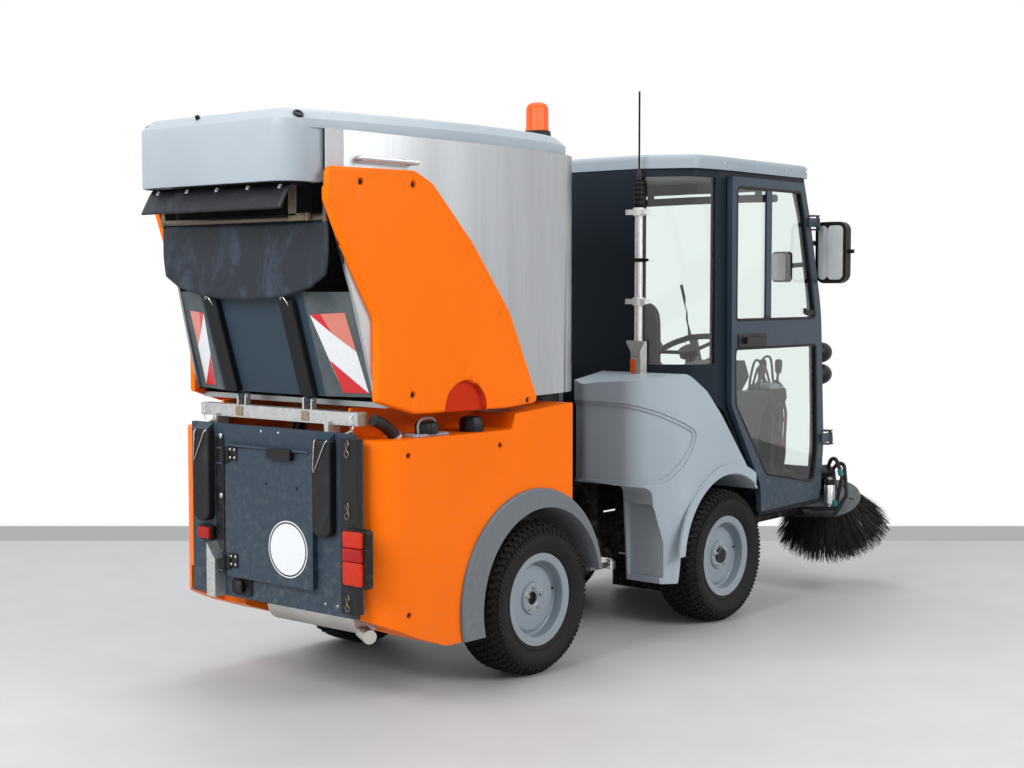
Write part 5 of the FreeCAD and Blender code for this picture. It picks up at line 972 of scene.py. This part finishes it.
clips = bmesh.new()
for z, lean in ((0.905, 0.002), (0.70, -0.004), (0.395, 0.003)):
    x, y = FRAME_FACE - 0.0325, -0.4436
    tube(clips, [(x, y, z + 0.030), (x - 0.004, y - 0.008, z + 0.016), (x - 0.002, y + lean, z + 0.002),
                 (x - 0.004, y - 0.009, z - 0.014), (x - 0.003, y + 0.002, z - 0.026),
                 (x - 0.004, y + 0.010, z - 0.012), (x - 0.002, y + lean + 0.002, z + 0.002),
                 (x - 0.003, y + 0.009, z + 0.02)], 0.0012, 6)
piece("spring_clips", clips, "brass", "rear_module", 60.0)

socket = bmesh.new()
plate(socket, rounded_outline(0.095, 0.065, 0.012), (FRAME_FACE + 0.0002, 0.1175, 0.3825), LEFT, UP, -0.006)
lathe(socket, [(0.025, 0.0), (0.025, 0.016), (0.021, 0.017), (0.020, 0.010), (0.004, 0.010)],
      (FRAME_FACE - 0.005, 0.128, 0.3825), REARWARD, 28)
plate(socket, rounded_outline(0.052, 0.044, 0.008), (FRAME_FACE - 0.02, 0.128, 0.3845), LEFT, UP, -0.005)
piece("trailer_socket", socket, "plastic", "rear_module", 32.0, 0.0008)

hooks = bmesh.new()
for side in (-1, 1):
    y = side * 0.313
    tube(hooks, [(-0.904, y + 0.026, 0.931), (-0.9125, y + 0.027, 0.922), (-0.9125, y + 0.034, 0.828),
                 (-0.9125, y + 0.030, 0.819), (-0.9125, y + 0.024, 0.828), (-0.9125, y - 0.026, 0.922),
                 (-0.904, y - 0.030, 0.931)], 0.0022, 8, False)
    bar_end = -0.410 if side < 0 else 0.300
    tube(hooks, [(-0.852, bar_end, 0.972), (-0.868, bar_end - 0.012, 0.961),
                 (-0.872, bar_end + 0.028, 0.944)], 0.0055, 8, False)
piece("buffer_hooks", hooks, "wire", "rear_module", 60.0)
springs = bmesh.new()
for y in (-0.405, 0.352):
    tube(springs, [(-0.8462, y, 1.012), (-0.853, y + 0.008, 1.00), (-0.855, y - 0.006, 0.986),
                   (-0.851, y + 0.007, 0.972), (-0.850, y - 0.004, 0.958)], 0.0013, 6)
piece("bar_springs", springs, "wire", "rear_module", 60.0)
simple("bar_end", "brass", "rear_module", (slab, (-0.8445, -0.4275, 0.9772), (-0.8055, -0.4248, 1.0188)),
       30.0, 0.0008)
BAR_FACE, BAR_Z = -0.845, 0.999
straps = bmesh.new()
for y in (-0.171, 0.171):
    plate(straps, rounded_outline(0.036, 0.034, 0.003), (BAR_FACE, y, BAR_Z), LEFT, UP, -0.003)
    for dy, dz in ((-0.009, 0.006), (0.009, 0.006), (0.0, -0.008)):
        screw(straps, (BAR_FACE - 0.003, y + dy, BAR_Z + dz), REARWARD, 0.004, 0.0022)
piece("bar_straps", straps, "brass", "rear_module", 32.0, 0.0005)


def span(low, high):
    """The middle and the size between two corners."""
    return [(a + b) / 2 for a, b in zip(low, high)], [b - a for a, b in zip(low, high)]


def lamp_lens(name, look, low, high, x_rear, depth, radius=0.008):
    """A lens with rounded corners and a crowned face, between two (y, z) corners."""
    form = bmesh.new()
    middle, size = span(low, high)
    rings = []
    for share, inset in ((0.0, 0.0), (0.6, 0.0), (0.9, 0.0015), (1.0, 0.0045)):
        outline = rounded_outline(size[0] - 2 * inset, size[1] - 2 * inset, radius)
        rings.append([Vector((x_rear - depth * share, middle[0] + a, middle[1] + b)) for a, b in outline])
    loft(form, rings)
    piece(name, form, look, "rear_module", 40.0)


housing = bmesh.new()
for low, high, x_front, depth in (((-0.560, 0.457), (-0.445, 0.653), -0.9086, 0.0275),
                                  ((0.262, 0.532), (0.340, 0.586), -0.8784, 0.0235)):
    middle, size = span(low, high)
    outline = rounded_outline(*size, 0.012)
    rings = []
    for share, inset in ((0.0, 0.002), (0.2, 0.0), (0.85, 0.0), (1.0, 0.003)):
        rings.append([Vector((x_front - depth * share, middle[0] + a * (1 - inset * 12),
                              middle[1] + b * (1 - inset * 8))) for a, b in outline])
    loft(housing, rings)
piece("lamp_housings", housing, "plastic", "rear_module", 40.0, replaced=("tail_lamps",))
LAMP_FACE = -0.9355
lamp_lens("lens_turn", "tail", (-0.542, 0.590), (-0.452, 0.643), LAMP_FACE, 0.0105)
lamp_lens("lens_stop", "red", (-0.542, 0.545), (-0.452, 0.5885), LAMP_FACE, 0.0125, 0.003)
lamp_lens("lens_tail", "tail", (-0.542, 0.466), (-0.452, 0.5435), LAMP_FACE, 0.0105)
lamp_lens("lens_left", "red", (0.268, 0.538), (0.334, 0.580), -0.9015, 0.0095)
reflector = bmesh.new()
for z in (0.365, 0.415, 0.465):
    lathe(reflector, [(0.0175, 0.0), (0.0175, 0.004), (0.014, 0.007), (0.005, 0.008)],
          (FRAME_FACE - 0.0005, 0.238, z), REARWARD, 24)
piece("guard_reflectors", reflector, "board", "rear_module")

# Deck: its inner wall, the caps and the filler neck

DECK_TOP = 0.928
walls = bmesh.new()
for side in (-1, 1):
    low, high = sorted((side * 0.3225, side * 0.3345))
    outline = [(-0.790, 0.9275), (-0.160, 0.9275), (-0.160, 0.984), (-0.190, 1.029), (-0.790, 1.029)]
    plate(walls, outline, (0, high, 0), FORWARD, UP, high - low)
piece("deck_walls", walls, "orange", "rear_module", 30.0, 0.003)
simple("cap_tray", "grey", "rear_module",
       (plate, rounded_outline(0.168, 0.068, 0.014), (-0.555, -0.465, 0.9282), FORWARD, LEFT, 0.009), 32.0,
       0.002, replaced=("deck_caps",))
caps = bmesh.new()
lathe(caps, [(0.041, 0.009), (0.041, 0.040), (0.038, 0.045), (0.030, 0.048), (0.028, 0.044), (0.010, 0.043)],
      (-0.560, -0.470, DECK_TOP), UP, 64, 0.045, 32)
slab(caps, (-0.592, -0.476, 0.969), (-0.528, -0.464, 0.979))
lathe(caps, [(0.043, 0.0), (0.043, 0.010), (0.0435, 0.036), (0.036, 0.050), (0.018, 0.0555), (0.006, 0.056)],
      (-0.330, -0.470, DECK_TOP), UP, 64, 0.03, 16)
piece("filler_caps", caps, "plastic", "rear_module", 32.0)
simple("cap_strap", "grey", "rear_module",
       (tube, [(-0.602, -0.470, 0.938), (-0.604, -0.470, 0.965), (-0.590, -0.470, 0.984),
               (-0.560, -0.470, 0.989), (-0.530, -0.470, 0.984), (-0.516, -0.470, 0.965),
               (-0.518, -0.470, 0.938)], 0.0045, 8), 50.0)
simple("filler_neck", "rubber", "rear_module",
       (tube, [(-0.800, -0.452, 0.996), (-0.765, -0.452, 0.983), (-0.722, -0.450, 0.958),
               (-0.690, -0.449, 0.929)], 0.021, 20), 50.0)
simple("neck_ring", "bright", "rear_module",
       (lathe, [(0.0235, 0.0), (0.0265, 0.002), (0.0265, 0.011), (0.023, 0.013)], (-0.691, -0.449, 0.9285),
        (-0.55, 0, 0.8), 32), 40.0)


# Cab fittings

MIRROR_FACE = 1.992
for hand, side in SIDES:
    form = bmesh.new()
    for width, shift in ((0.046, -0.040), (0.078, 0.0235)):
        plate(form, rounded_outline(width, 0.246, 0.022),
              (MIRROR_FACE + 0.0006, side * (0.600 + shift), 1.595), LEFT, UP, -0.002)
    piece("mirror_panes_" + hand, form, "mirror", "front_module", 30.0)
simple("inner_mirror", "plastic", "front_module",
       (plate, rounded_outline(0.095, 0.140, 0.020), (1.862, -0.405, 1.530), (0.25, 1, 0), UP, 0.040), 40.0,
       0.004)
simple("inner_mirror_pane", "mirror", "front_module",
       (plate, rounded_outline(0.080, 0.122, 0.014), (1.8618, -0.405, 1.530), (0.25, 1, 0), UP, -0.0015),
       40.0)
simple("inner_mirror_arm", "plastic", "front_module",
       (tube, [(1.895, -0.410, 1.532), (1.925, -0.432, 1.536), (1.955, -0.462, 1.540),
               (1.978, -0.480, 1.540)], 0.011, 12), 50.0)

beacon = bmesh.new()
spot = (1.100, 0.400, 1.988)
lathe(beacon, [(0.043, 0.0), (0.043, 0.008), (0.030, 0.014), (0.0188, 0.019), (0.0188, 0.112),
               (0.0205, 0.117), (0.058, 0.121), (0.0615, 0.125), (0.0615, 0.147), (0.056, 0.154)], spot, UP,
      48)
piece("beacon_base", beacon, "plastic", "front_module", 40.0, replaced=("beacon",))
beacon = bmesh.new()
dome = [(0.0535, 0.152), (0.0535, 0.158), (0.0515, 0.162), (0.0505, 0.250), (0.047, 0.264), (0.038, 0.275),
        (0.022, 0.281), (0.004, 0.283)]
lathe(beacon, dome, spot, UP, 72, 0.022, 36)
piece("beacon_dome", beacon, "dome", "front_module", 40.0)
simple("beacon_bulb", "bright", "front_module",
       (lathe, [(0.020, 0.155), (0.020, 0.178), (0.012, 0.182), (0.009, 0.225), (0.004, 0.235)], spot, UP,
        20), 40.0)


def rounded_path(corners, y, steps=5):
    """A closed outline in the door's plane; a corner is (x, z, radius)."""
    points = []
    count = len(corners)
    for k, (x, z, radius) in enumerate(corners):
        here = Vector((x, 0, z))
        back = (Vector((corners[k - 1][0], 0, corners[k - 1][1])) - here).normalized()
        forth = (Vector((corners[(k + 1) % count][0], 0, corners[(k + 1) % count][1])) - here).normalized()
        half = back.angle(forth) / 2
        reach = radius / math.tan(half)
        middle = here + (back + forth).normalized() * radius / math.sin(half)
        first, last = here + back * reach - middle, here + forth * reach - middle
        for n in range(steps + 1):
            turned = first.slerp(last, n / steps) if first.angle(last) > 1e-4 else first
            points.append(middle + turned.normalized() * radius)
    return [Vector((point.x, y, point.z)) for point in points]


UPPER = ((1.287, 1.862, 0.016), (1.287, 1.297, 0.016), (1.960, 1.297, 0.016), (1.850, 1.750, 0.2),
         (1.812, 1.862, 0.016))
LOWER = ((1.279, 1.174, 0.016), (1.287, 0.934, 0.060), (1.542, 0.614, 0.040), (1.960, 0.542, 0.040),
         (1.985, 0.700, 0.1), (1.966, 1.174, 0.016))
for hand, side in SIDES:
    seal = bmesh.new()
    for window in (UPPER, LOWER):
        path = rounded_path(window, side * 0.5445)
        rings = []
        for k, point in enumerate(path):
            along = (path[(k + 1) % len(path)] - path[k - 1]).normalized()
            out = along.cross(Vector((0, side, 0)))
            rings.append([point + out * a + Vector((0, side * b, 0)) for a,
                          b in ((-0.006, -0.010), (0.006, -0.010), (0.006, 0.0015), (0.003, 0.0035),
                                (-0.003, 0.0035), (-0.006, 0.0015))])
        loft(seal, rings + rings[:1], caps=False)
    bmesh.ops.remove_doubles(seal, verts=seal.verts, dist=1e-6)
    door = "door_" + hand
    piece("window_seals_" + hand, seal, "rubber", door, 35.0)
    latch = bmesh.new()
    low, high = sorted((side * 0.5365, side * 0.5465))
    slab(latch, (1.880, low, 1.310), (1.948, high, 1.333))
    slab(latch, (1.862, low, 1.316), (1.880, high, 1.342))
    slab(latch, (1.520, low, 1.300), (1.560, high, 1.314))
    piece("window_latch_" + hand, latch, "plastic", door, 35.0, 0.002)
    simple("door_lock_" + hand, "bright", door,
           (lathe, [(0.010, 0.0), (0.010, 0.003), (0.0075, 0.0035), (0.003, 0.0025)],
            (1.515, side * 0.5505, 1.209), (0, side, 0), 24), 35.0)
    simple("roof_marker_" + hand, "amber", "front_module",
           (plate, rounded_outline(0.026, 0.020, 0.005), (1.872, side * 0.5148, 1.915), (side, 0, 0), UP,
            0.016), 35.0, 0.002)
    bolts = bmesh.new()
    for x in (1.21, 1.46, 1.71, 1.89):
        screw(bolts, (x, side * 0.5286, 1.958), (0, side, 0), 0.0045, 0.002)
    piece("roof_screws_" + hand, bolts, "bright", "front_module")


SCREEN_FOOT, SCREEN_TOP = 0.724, 1.930
WIPER_Z = 0.66


def screen_x(z):
    """The windscreen's outer face on the middle line."""
    share = (z - SCREEN_FOOT) / (SCREEN_TOP - SCREEN_FOOT)
    return 2.082 * (1 - share) + 1.891 * share + 0.155 * share * (1 - share)


wiper = bmesh.new()
lathe(wiper, [(0.020, -0.010), (0.020, 0.012), (0.013, 0.020), (0.004, 0.021)],
      (screen_x(SCREEN_FOOT) + 0.004, 0.10, WIPER_Z), FORWARD, 24)
for reach, start_y, start_z, radius, sides, heights in (
        (0.028, 0.10, WIPER_Z, 0.006, 10, (WIPER_Z, 0.80, 0.95, 1.10, 1.20)),
        (0.015, 0.145, 0.90, 0.0075, 8, (0.86, 1.0, 1.15, 1.3, 1.45))):
    tube(wiper, [(screen_x(z) + reach, start_y + (z - start_z) * 0.16, z) for z in heights], radius, sides)
piece("wiper", wiper, "plastic", "front_module", 50.0)

POLE_X, POLE_Y = 0.900, -0.310
fittings = bmesh.new()
for z in (1.377, 1.748):
    lathe(fittings, [(0.0235, -0.017), (0.0255, -0.014), (0.0255, 0.014), (0.0235, 0.017)],
          (POLE_X, POLE_Y, z), UP, 28)
    slab(fittings, (0.884, -0.352, z - 0.011), (0.916, -0.318, z + 0.011))
    slab(fittings, (0.884, -0.302, z - 0.011), (0.916, -0.262, z + 0.011))
piece("pole_clamps", fittings, "pale", "front_module", 35.0, 0.002)
fittings = bmesh.new()
slab(fittings, (0.877, -0.372, 1.543), (0.8825, -0.240, 1.555))
lathe(fittings, [(0.0195, -0.008), (0.0195, 0.008)], (POLE_X, POLE_Y, 1.549), UP, 24)
for k in range(5):
    lathe(fittings, [(0.0245, 1.784 + 0.02 * k), (0.0245, 1.793 + 0.02 * k)], (POLE_X, POLE_Y, 0.0), UP, 28)
lathe(fittings, [(0.012, 1.880), (0.012, 1.910), (0.007, 1.925), (0.0045, 1.930)], (POLE_X, POLE_Y, 0.0),
      UP, 20)
piece("pole_fittings", fittings, "plastic", "front_module", 35.0)
simple("pole_holder", "zinc", "front_module",
       (plate, [(-0.045, 1.214), (-0.045, 1.204), (-0.022, 1.165), (-0.022, 1.150), (0.022, 1.150),
                (0.022, 1.165), (0.045, 1.204), (0.045, 1.214)], (0.879, -0.310, 0), LEFT, UP, -0.003),
       35.0, 0.0008)
simple("pole_reflector", "amber", "front_module",
       (plate, rounded_outline(0.024, 0.060, 0.004), (0.879, -0.297, 1.108), LEFT, UP, -0.004), 35.0, 0.001)

controls = bmesh.new()
for side in (-1, 1):
    y = side * 0.288
    for k in range(3):
        x = 1.505 + 0.045 * k
        tube(controls, [(x, y + 0.018 * (k - 1), 1.108), (x - 0.004, y + 0.018 * (k - 1), 1.150)], 0.004, 8,
             False)
        lathe(controls, [(0.004, 0.0), (0.0085, 0.004), (0.0105, 0.014), (0.008, 0.022), (0.003, 0.025)],
              (x - 0.004, y + 0.018 * (k - 1), 1.147), UP, 18)
piece("small_levers", controls, "plastic", "front_module", 45.0)


# Inside the cab: control stand, side console, foot plate and leads

def moulding(name, look, rings, bevel):
    """A tapered box: rings of (x0, x1, y0, y1, z) from the foot up."""
    form = bmesh.new()
    loft(form, [[Vector((x0, y0, z)), Vector((x1, y0, z)), Vector((x1, y1, z)), Vector((x0, y1, z))]
                for x0, x1, y0, y1, z in rings])
    piece(name, form, look, "front_module", 30.0, bevel, 3)


CAB_FLOOR = 0.585
moulding("control_stand", "plastic",
         ((1.775, 1.905, -0.425, -0.320, CAB_FLOOR), (1.790, 1.895, -0.420, -0.325, 0.700),
          (1.800, 1.890, -0.418, -0.320, 0.860), (1.760, 1.905, -0.432, -0.300, 0.930),
          (1.755, 1.900, -0.430, -0.300, 0.975)), 0.010)
moulding("stand_lid", "grey",
         ((1.765, 1.890, -0.424, -0.306, 0.9745), (1.775, 1.885, -0.418, -0.312, 0.992),
          (1.800, 1.875, -0.405, -0.325, 0.999)), 0.004)
moulding("side_console", "plastic",
         ((1.470, 1.690, -0.425, -0.355, CAB_FLOOR), (1.480, 1.680, -0.420, -0.355, 0.760),
          (1.475, 1.700, -0.432, -0.345, 0.870), (1.455, 1.735, -0.440, -0.340, 0.935),
          (1.465, 1.720, -0.434, -0.346, 0.972)), 0.014)
grips = bmesh.new()
for x, y, foot, lean in ((1.700, -0.392, 0.962, 0.05), (1.862, -0.398, 0.985, 0.02),
                         (1.845, -0.345, 0.985, -0.02)):
    tube(grips, [(x, y, foot - 0.01), (x + lean * 0.4, y, foot + 0.035), (x + lean * 0.7, y, foot + 0.07)],
         0.006, 10)
    lathe(grips, [(0.009, 0.0), (0.014, 0.008), (0.0165, 0.030), (0.0175, 0.052), (0.013, 0.064),
                  (0.004, 0.067)], (x + lean * 0.7, y, foot + 0.055), (lean * 3, 0, 1), 20)
    lathe(grips, [(0.024, 0.0), (0.023, 0.006), (0.014, 0.020), (0.008, 0.028)], (x, y, foot - 0.002), UP, 24)
piece("control_grips", grips, "plastic", "front_module", 40.0)
leads = bmesh.new()
for k, (y, rise) in enumerate(((-0.350, 0.145), (-0.372, 0.115), (-0.395, 0.165))):
    tube(leads, [(1.700 - 0.02 * k, y, 0.955), (1.712, y, 1.02), (1.752, y + 0.004, 0.985 + rise * 0.75),
                 (1.800 + 0.01 * k, y + 0.006, 0.972 + rise * 0.85), (1.842, y + 0.004, 1.015),
                 (1.858, y + 0.002, 0.968)], 0.0055, 10)
for y, x in ((-0.427, 1.815), (-0.425, 1.845), (-0.428, 1.872)):
    tube(leads, [(x, y + 0.004, 0.930), (x + 0.006, y - 0.010, 0.86), (x - 0.004, y - 0.012, 0.76),
                 (x + 0.003, y - 0.006, 0.67), (x, y + 0.002, 0.60)], 0.007, 10)
piece("control_leads", leads, "rubber", "front_module", 60.0)
bands = bmesh.new()
for x, z in ((1.818, 0.80), (1.846, 0.73), (1.874, 0.83)):
    lathe(bands, [(0.0095, -0.011), (0.0095, 0.011)], (x, -0.438, z), (0.05, 0, 1), 16)
piece("lead_bands", bands, "red", "front_module", 35.0)
mat = bmesh.new()
slab(mat, (1.50, -0.430, CAB_FLOOR - 0.003), (1.97, 0.430, CAB_FLOOR + 0.006))
for k in range(28):
    slab(mat, (1.505 + 0.0165 * k, -0.422, CAB_FLOOR + 0.005), (1.512 + 0.0165 * k, 0.422, CAB_FLOOR + 0.009))
piece("foot_mat", mat, "rubber", "front_module", 30.0)
visor = bmesh.new()
tube(visor, [(1.845, -0.395, 1.842), (1.850, -0.20, 1.846), (1.850, 0.20, 1.846), (1.845, 0.395, 1.842)],
     0.018, 16)
for y in (-0.30, 0.30):
    slab(visor, (1.838, y - 0.012, 1.845), (1.862, y + 0.012, 1.885))
piece("sun_blind", visor, "plastic", "front_module", 50.0)


# Seat: padded cushion, backrest and headrest

SEAT_SQUARE = 0.36
RECLINE = math.radians(-90)


def power(value, exponent):
    """A power that keeps the sign; a low one squares a round form."""
    return math.copysign(abs(value) ** exponent, value)


def pad_form(name, size, centre, lean, groove=0.0, rows=0, replaced=()):
    """A crowned cushion with sides that pull in, a sewn seam and stitched channels."""
    form = bmesh.new()
    around, down = 44, 28
    turn = Matrix.Rotation(lean, 3, "Y")
    channels = [-0.5 + row / max(1, rows - 1) for row in range(rows)]
    rings = []
    for j in range(1, down):
        phi = math.pi * j / down
        ring = []
        for k in range(around):
            theta = 2 * math.pi * k / around
            a = power(math.cos(theta), SEAT_SQUARE) * power(math.sin(phi), 0.42)
            b = power(math.sin(theta), SEAT_SQUARE) * power(math.sin(phi), 0.42)
            c = power(math.cos(phi), 0.62)
            rise = 1.0 - 0.12 * (a * a + b * b)
            waist = 1.0 - 0.035 * math.exp(-(c / 0.12) ** 2)
            dip = groove * sum(math.exp(-((a - spot) / 0.045) ** 2) for spot in channels) if c > 0.3 else 0.0
            local = Vector((a * size[0] / 2 * waist, b * size[1] / 2 * waist, c * size[2] / 2 * rise - dip))
            ring.append(Vector(centre) + turn @ local)
        rings.append(ring)
    loft(form, rings)
    made = piece(name, form, "cloth", "front_module", 180.0, replaced=replaced)
    rounding = made.modifiers.new("rounding", "SUBSURF")
    rounding.levels = rounding.render_levels = 1


pad_form("seat_cushion", (0.445, 0.445, 0.105), (1.443, 0, 0.955), 0.0, 0.004, 4, ("seat",))
pad_form("seat_backrest", (0.410, 0.430, 0.092), (1.187, 0, 1.172), RECLINE, 0.004, 4)
pad_form("seat_headrest", (0.140, 0.245, 0.078), (1.185, 0, 1.470), RECLINE)
stays = bmesh.new()
for y in (-0.06, 0.06):
    tube(stays, [(1.185, y, 1.330), (1.185, y, 1.44)], 0.0075, 12, False)
slab(stays, (1.236, -0.19, 0.9005), (1.62, 0.19, 0.912))
piece("seat_stays", stays, "plastic", "front_module", 40.0)
piping = bmesh.new()
for size, spot, lean in (((0.445, 0.445), (1.443, 0, 0.956), 0.0),
                         ((0.410, 0.430), (1.187, 0, 1.172), RECLINE)):
    seam = []
    for k in range(64):
        theta = 2 * math.pi * k / 64
        a = power(math.cos(theta), SEAT_SQUARE) * size[0] / 2 * 0.968
        b = power(math.sin(theta), SEAT_SQUARE) * size[1] / 2 * 0.968
        seam.append(Vector(spot) + Matrix.Rotation(lean, 3, "Y") @ Vector((a, b, 0.0)))
    tube(piping, seam + seam[:1], 0.0035, 6, False)
piece("seat_piping", piping, "plastic", "front_module", 60.0)


# Floor, lights and world

WHITE = (1.0, 1.0, 1.0, 1.0)


def background(tree):
    """1 for what the camera, metal and glass see."""
    rays = tree.nodes.new("ShaderNodeLightPath").outputs
    seen = rays["Is Camera Ray"]
    for ray in ("Is Glossy Ray", "Is Transmission Ray"):
        seen = add_node(tree, "Math", {0: seen, 1: rays[ray]}, "Value", operation="MAXIMUM")
    return seen


world = bpy.data.worlds.new("studio")
bpy.context.scene.world = world
world.use_nodes = True
sky = world.node_tree
ambient = sky.nodes["Background"]
ambient.inputs["Color"].default_value = (0.95, 0.97, 1.0, 1.0)
ambient.inputs["Strength"].default_value = 0.45
white = add_node(sky, "Background", {"Color": WHITE, "Strength": 1.0}, "Background")
chosen = add_node(sky, "MixShader", {"Fac": background(sky), 1: ambient.outputs["Background"], 2: white},
                  "Shader")
sky.links.new(chosen, sky.nodes["World Output"].inputs["Surface"])

FLOOR_RADIUS = 14.0
WALL_FOOT = 2.30
SKIRTING = 0.55
floor_mesh = bpy.data.meshes.new("floor")
disc = bmesh.new()
bmesh.ops.create_circle(disc, cap_ends=True, segments=96, radius=FLOOR_RADIUS)
disc.to_mesh(floor_mesh)
disc.free()
floor = bpy.data.objects.new("floor", floor_mesh)
bpy.context.scene.collection.objects.link(floor)
floor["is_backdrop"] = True

ground = Look("studio_floor")
ground.set(Roughness=0.55)
mottle = ground.levels(ground.noise(3.0, 6.0, 0.6), 0.3, 0.7)
ground.colour(ground.blend(mottle, srgb(182, 183, 184), srgb(188, 189, 190)))
ground.bump(ground.noise(220.0, 3.0), 0.0002)
depth = ground.node("SeparateXYZ", {"Vector": ground.stretched(1.0, 1.0, 1.0, (0.0, 0.0, -HEADING))}, "X")
reach = ground.node("VectorMath", {0: ground.coords}, "Value", operation="LENGTH")
rim_fade = ground.levels(reach, 5.5, 10.0, 0.0, 1.0, "SMOOTHSTEP")
fade = ground.calc("MAXIMUM", rim_fade, ground.levels(depth, WALL_FOOT, WALL_FOOT + 0.01))
band = ground.levels(depth, WALL_FOOT + SKIRTING, WALL_FOOT + SKIRTING + 0.05)
glow = ground.node("Emission", {"Color": ground.blend(band, srgb(176, 177, 178), WHITE)}, "Emission")
hidden = ground.calc("MULTIPLY", fade, background(ground.tree))
mixed = ground.node("MixShader", {"Fac": hidden, 1: ground.shader.outputs["BSDF"], 2: glow}, "Shader")
ground.link(mixed, ground.tree.nodes["Material Output"].inputs["Surface"])
floor_mesh.materials.append(ground.material)


def softbox(name, spot, aim, size, power):
    """A large square area light."""
    data = bpy.data.lights.new(name, "AREA")
    data.shape = "SQUARE"
    data.size = size
    data.energy = power
    lamp = bpy.data.objects.new(name, data)
    bpy.context.scene.collection.objects.link(lamp)
    lamp.location = spot
    lamp.rotation_euler = (Vector(aim) - Vector(spot)).to_track_quat("-Z", "Y").to_euler()


# Lights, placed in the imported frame

softbox("key", (-8.0, 0.3, 5.2), (0.0, 0.0, 0.9), 4.5, 660.0)
softbox("side", (0.5, -7.5, 4.8), (0.2, 0.0, 0.9), 4.0, 390.0)
softbox("top", (0.5, 1.5, 6.5), (0.0, 0.0, 0.5), 4.0, 170.0)

# The bounds of all shown parts, without the floor

low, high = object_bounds()
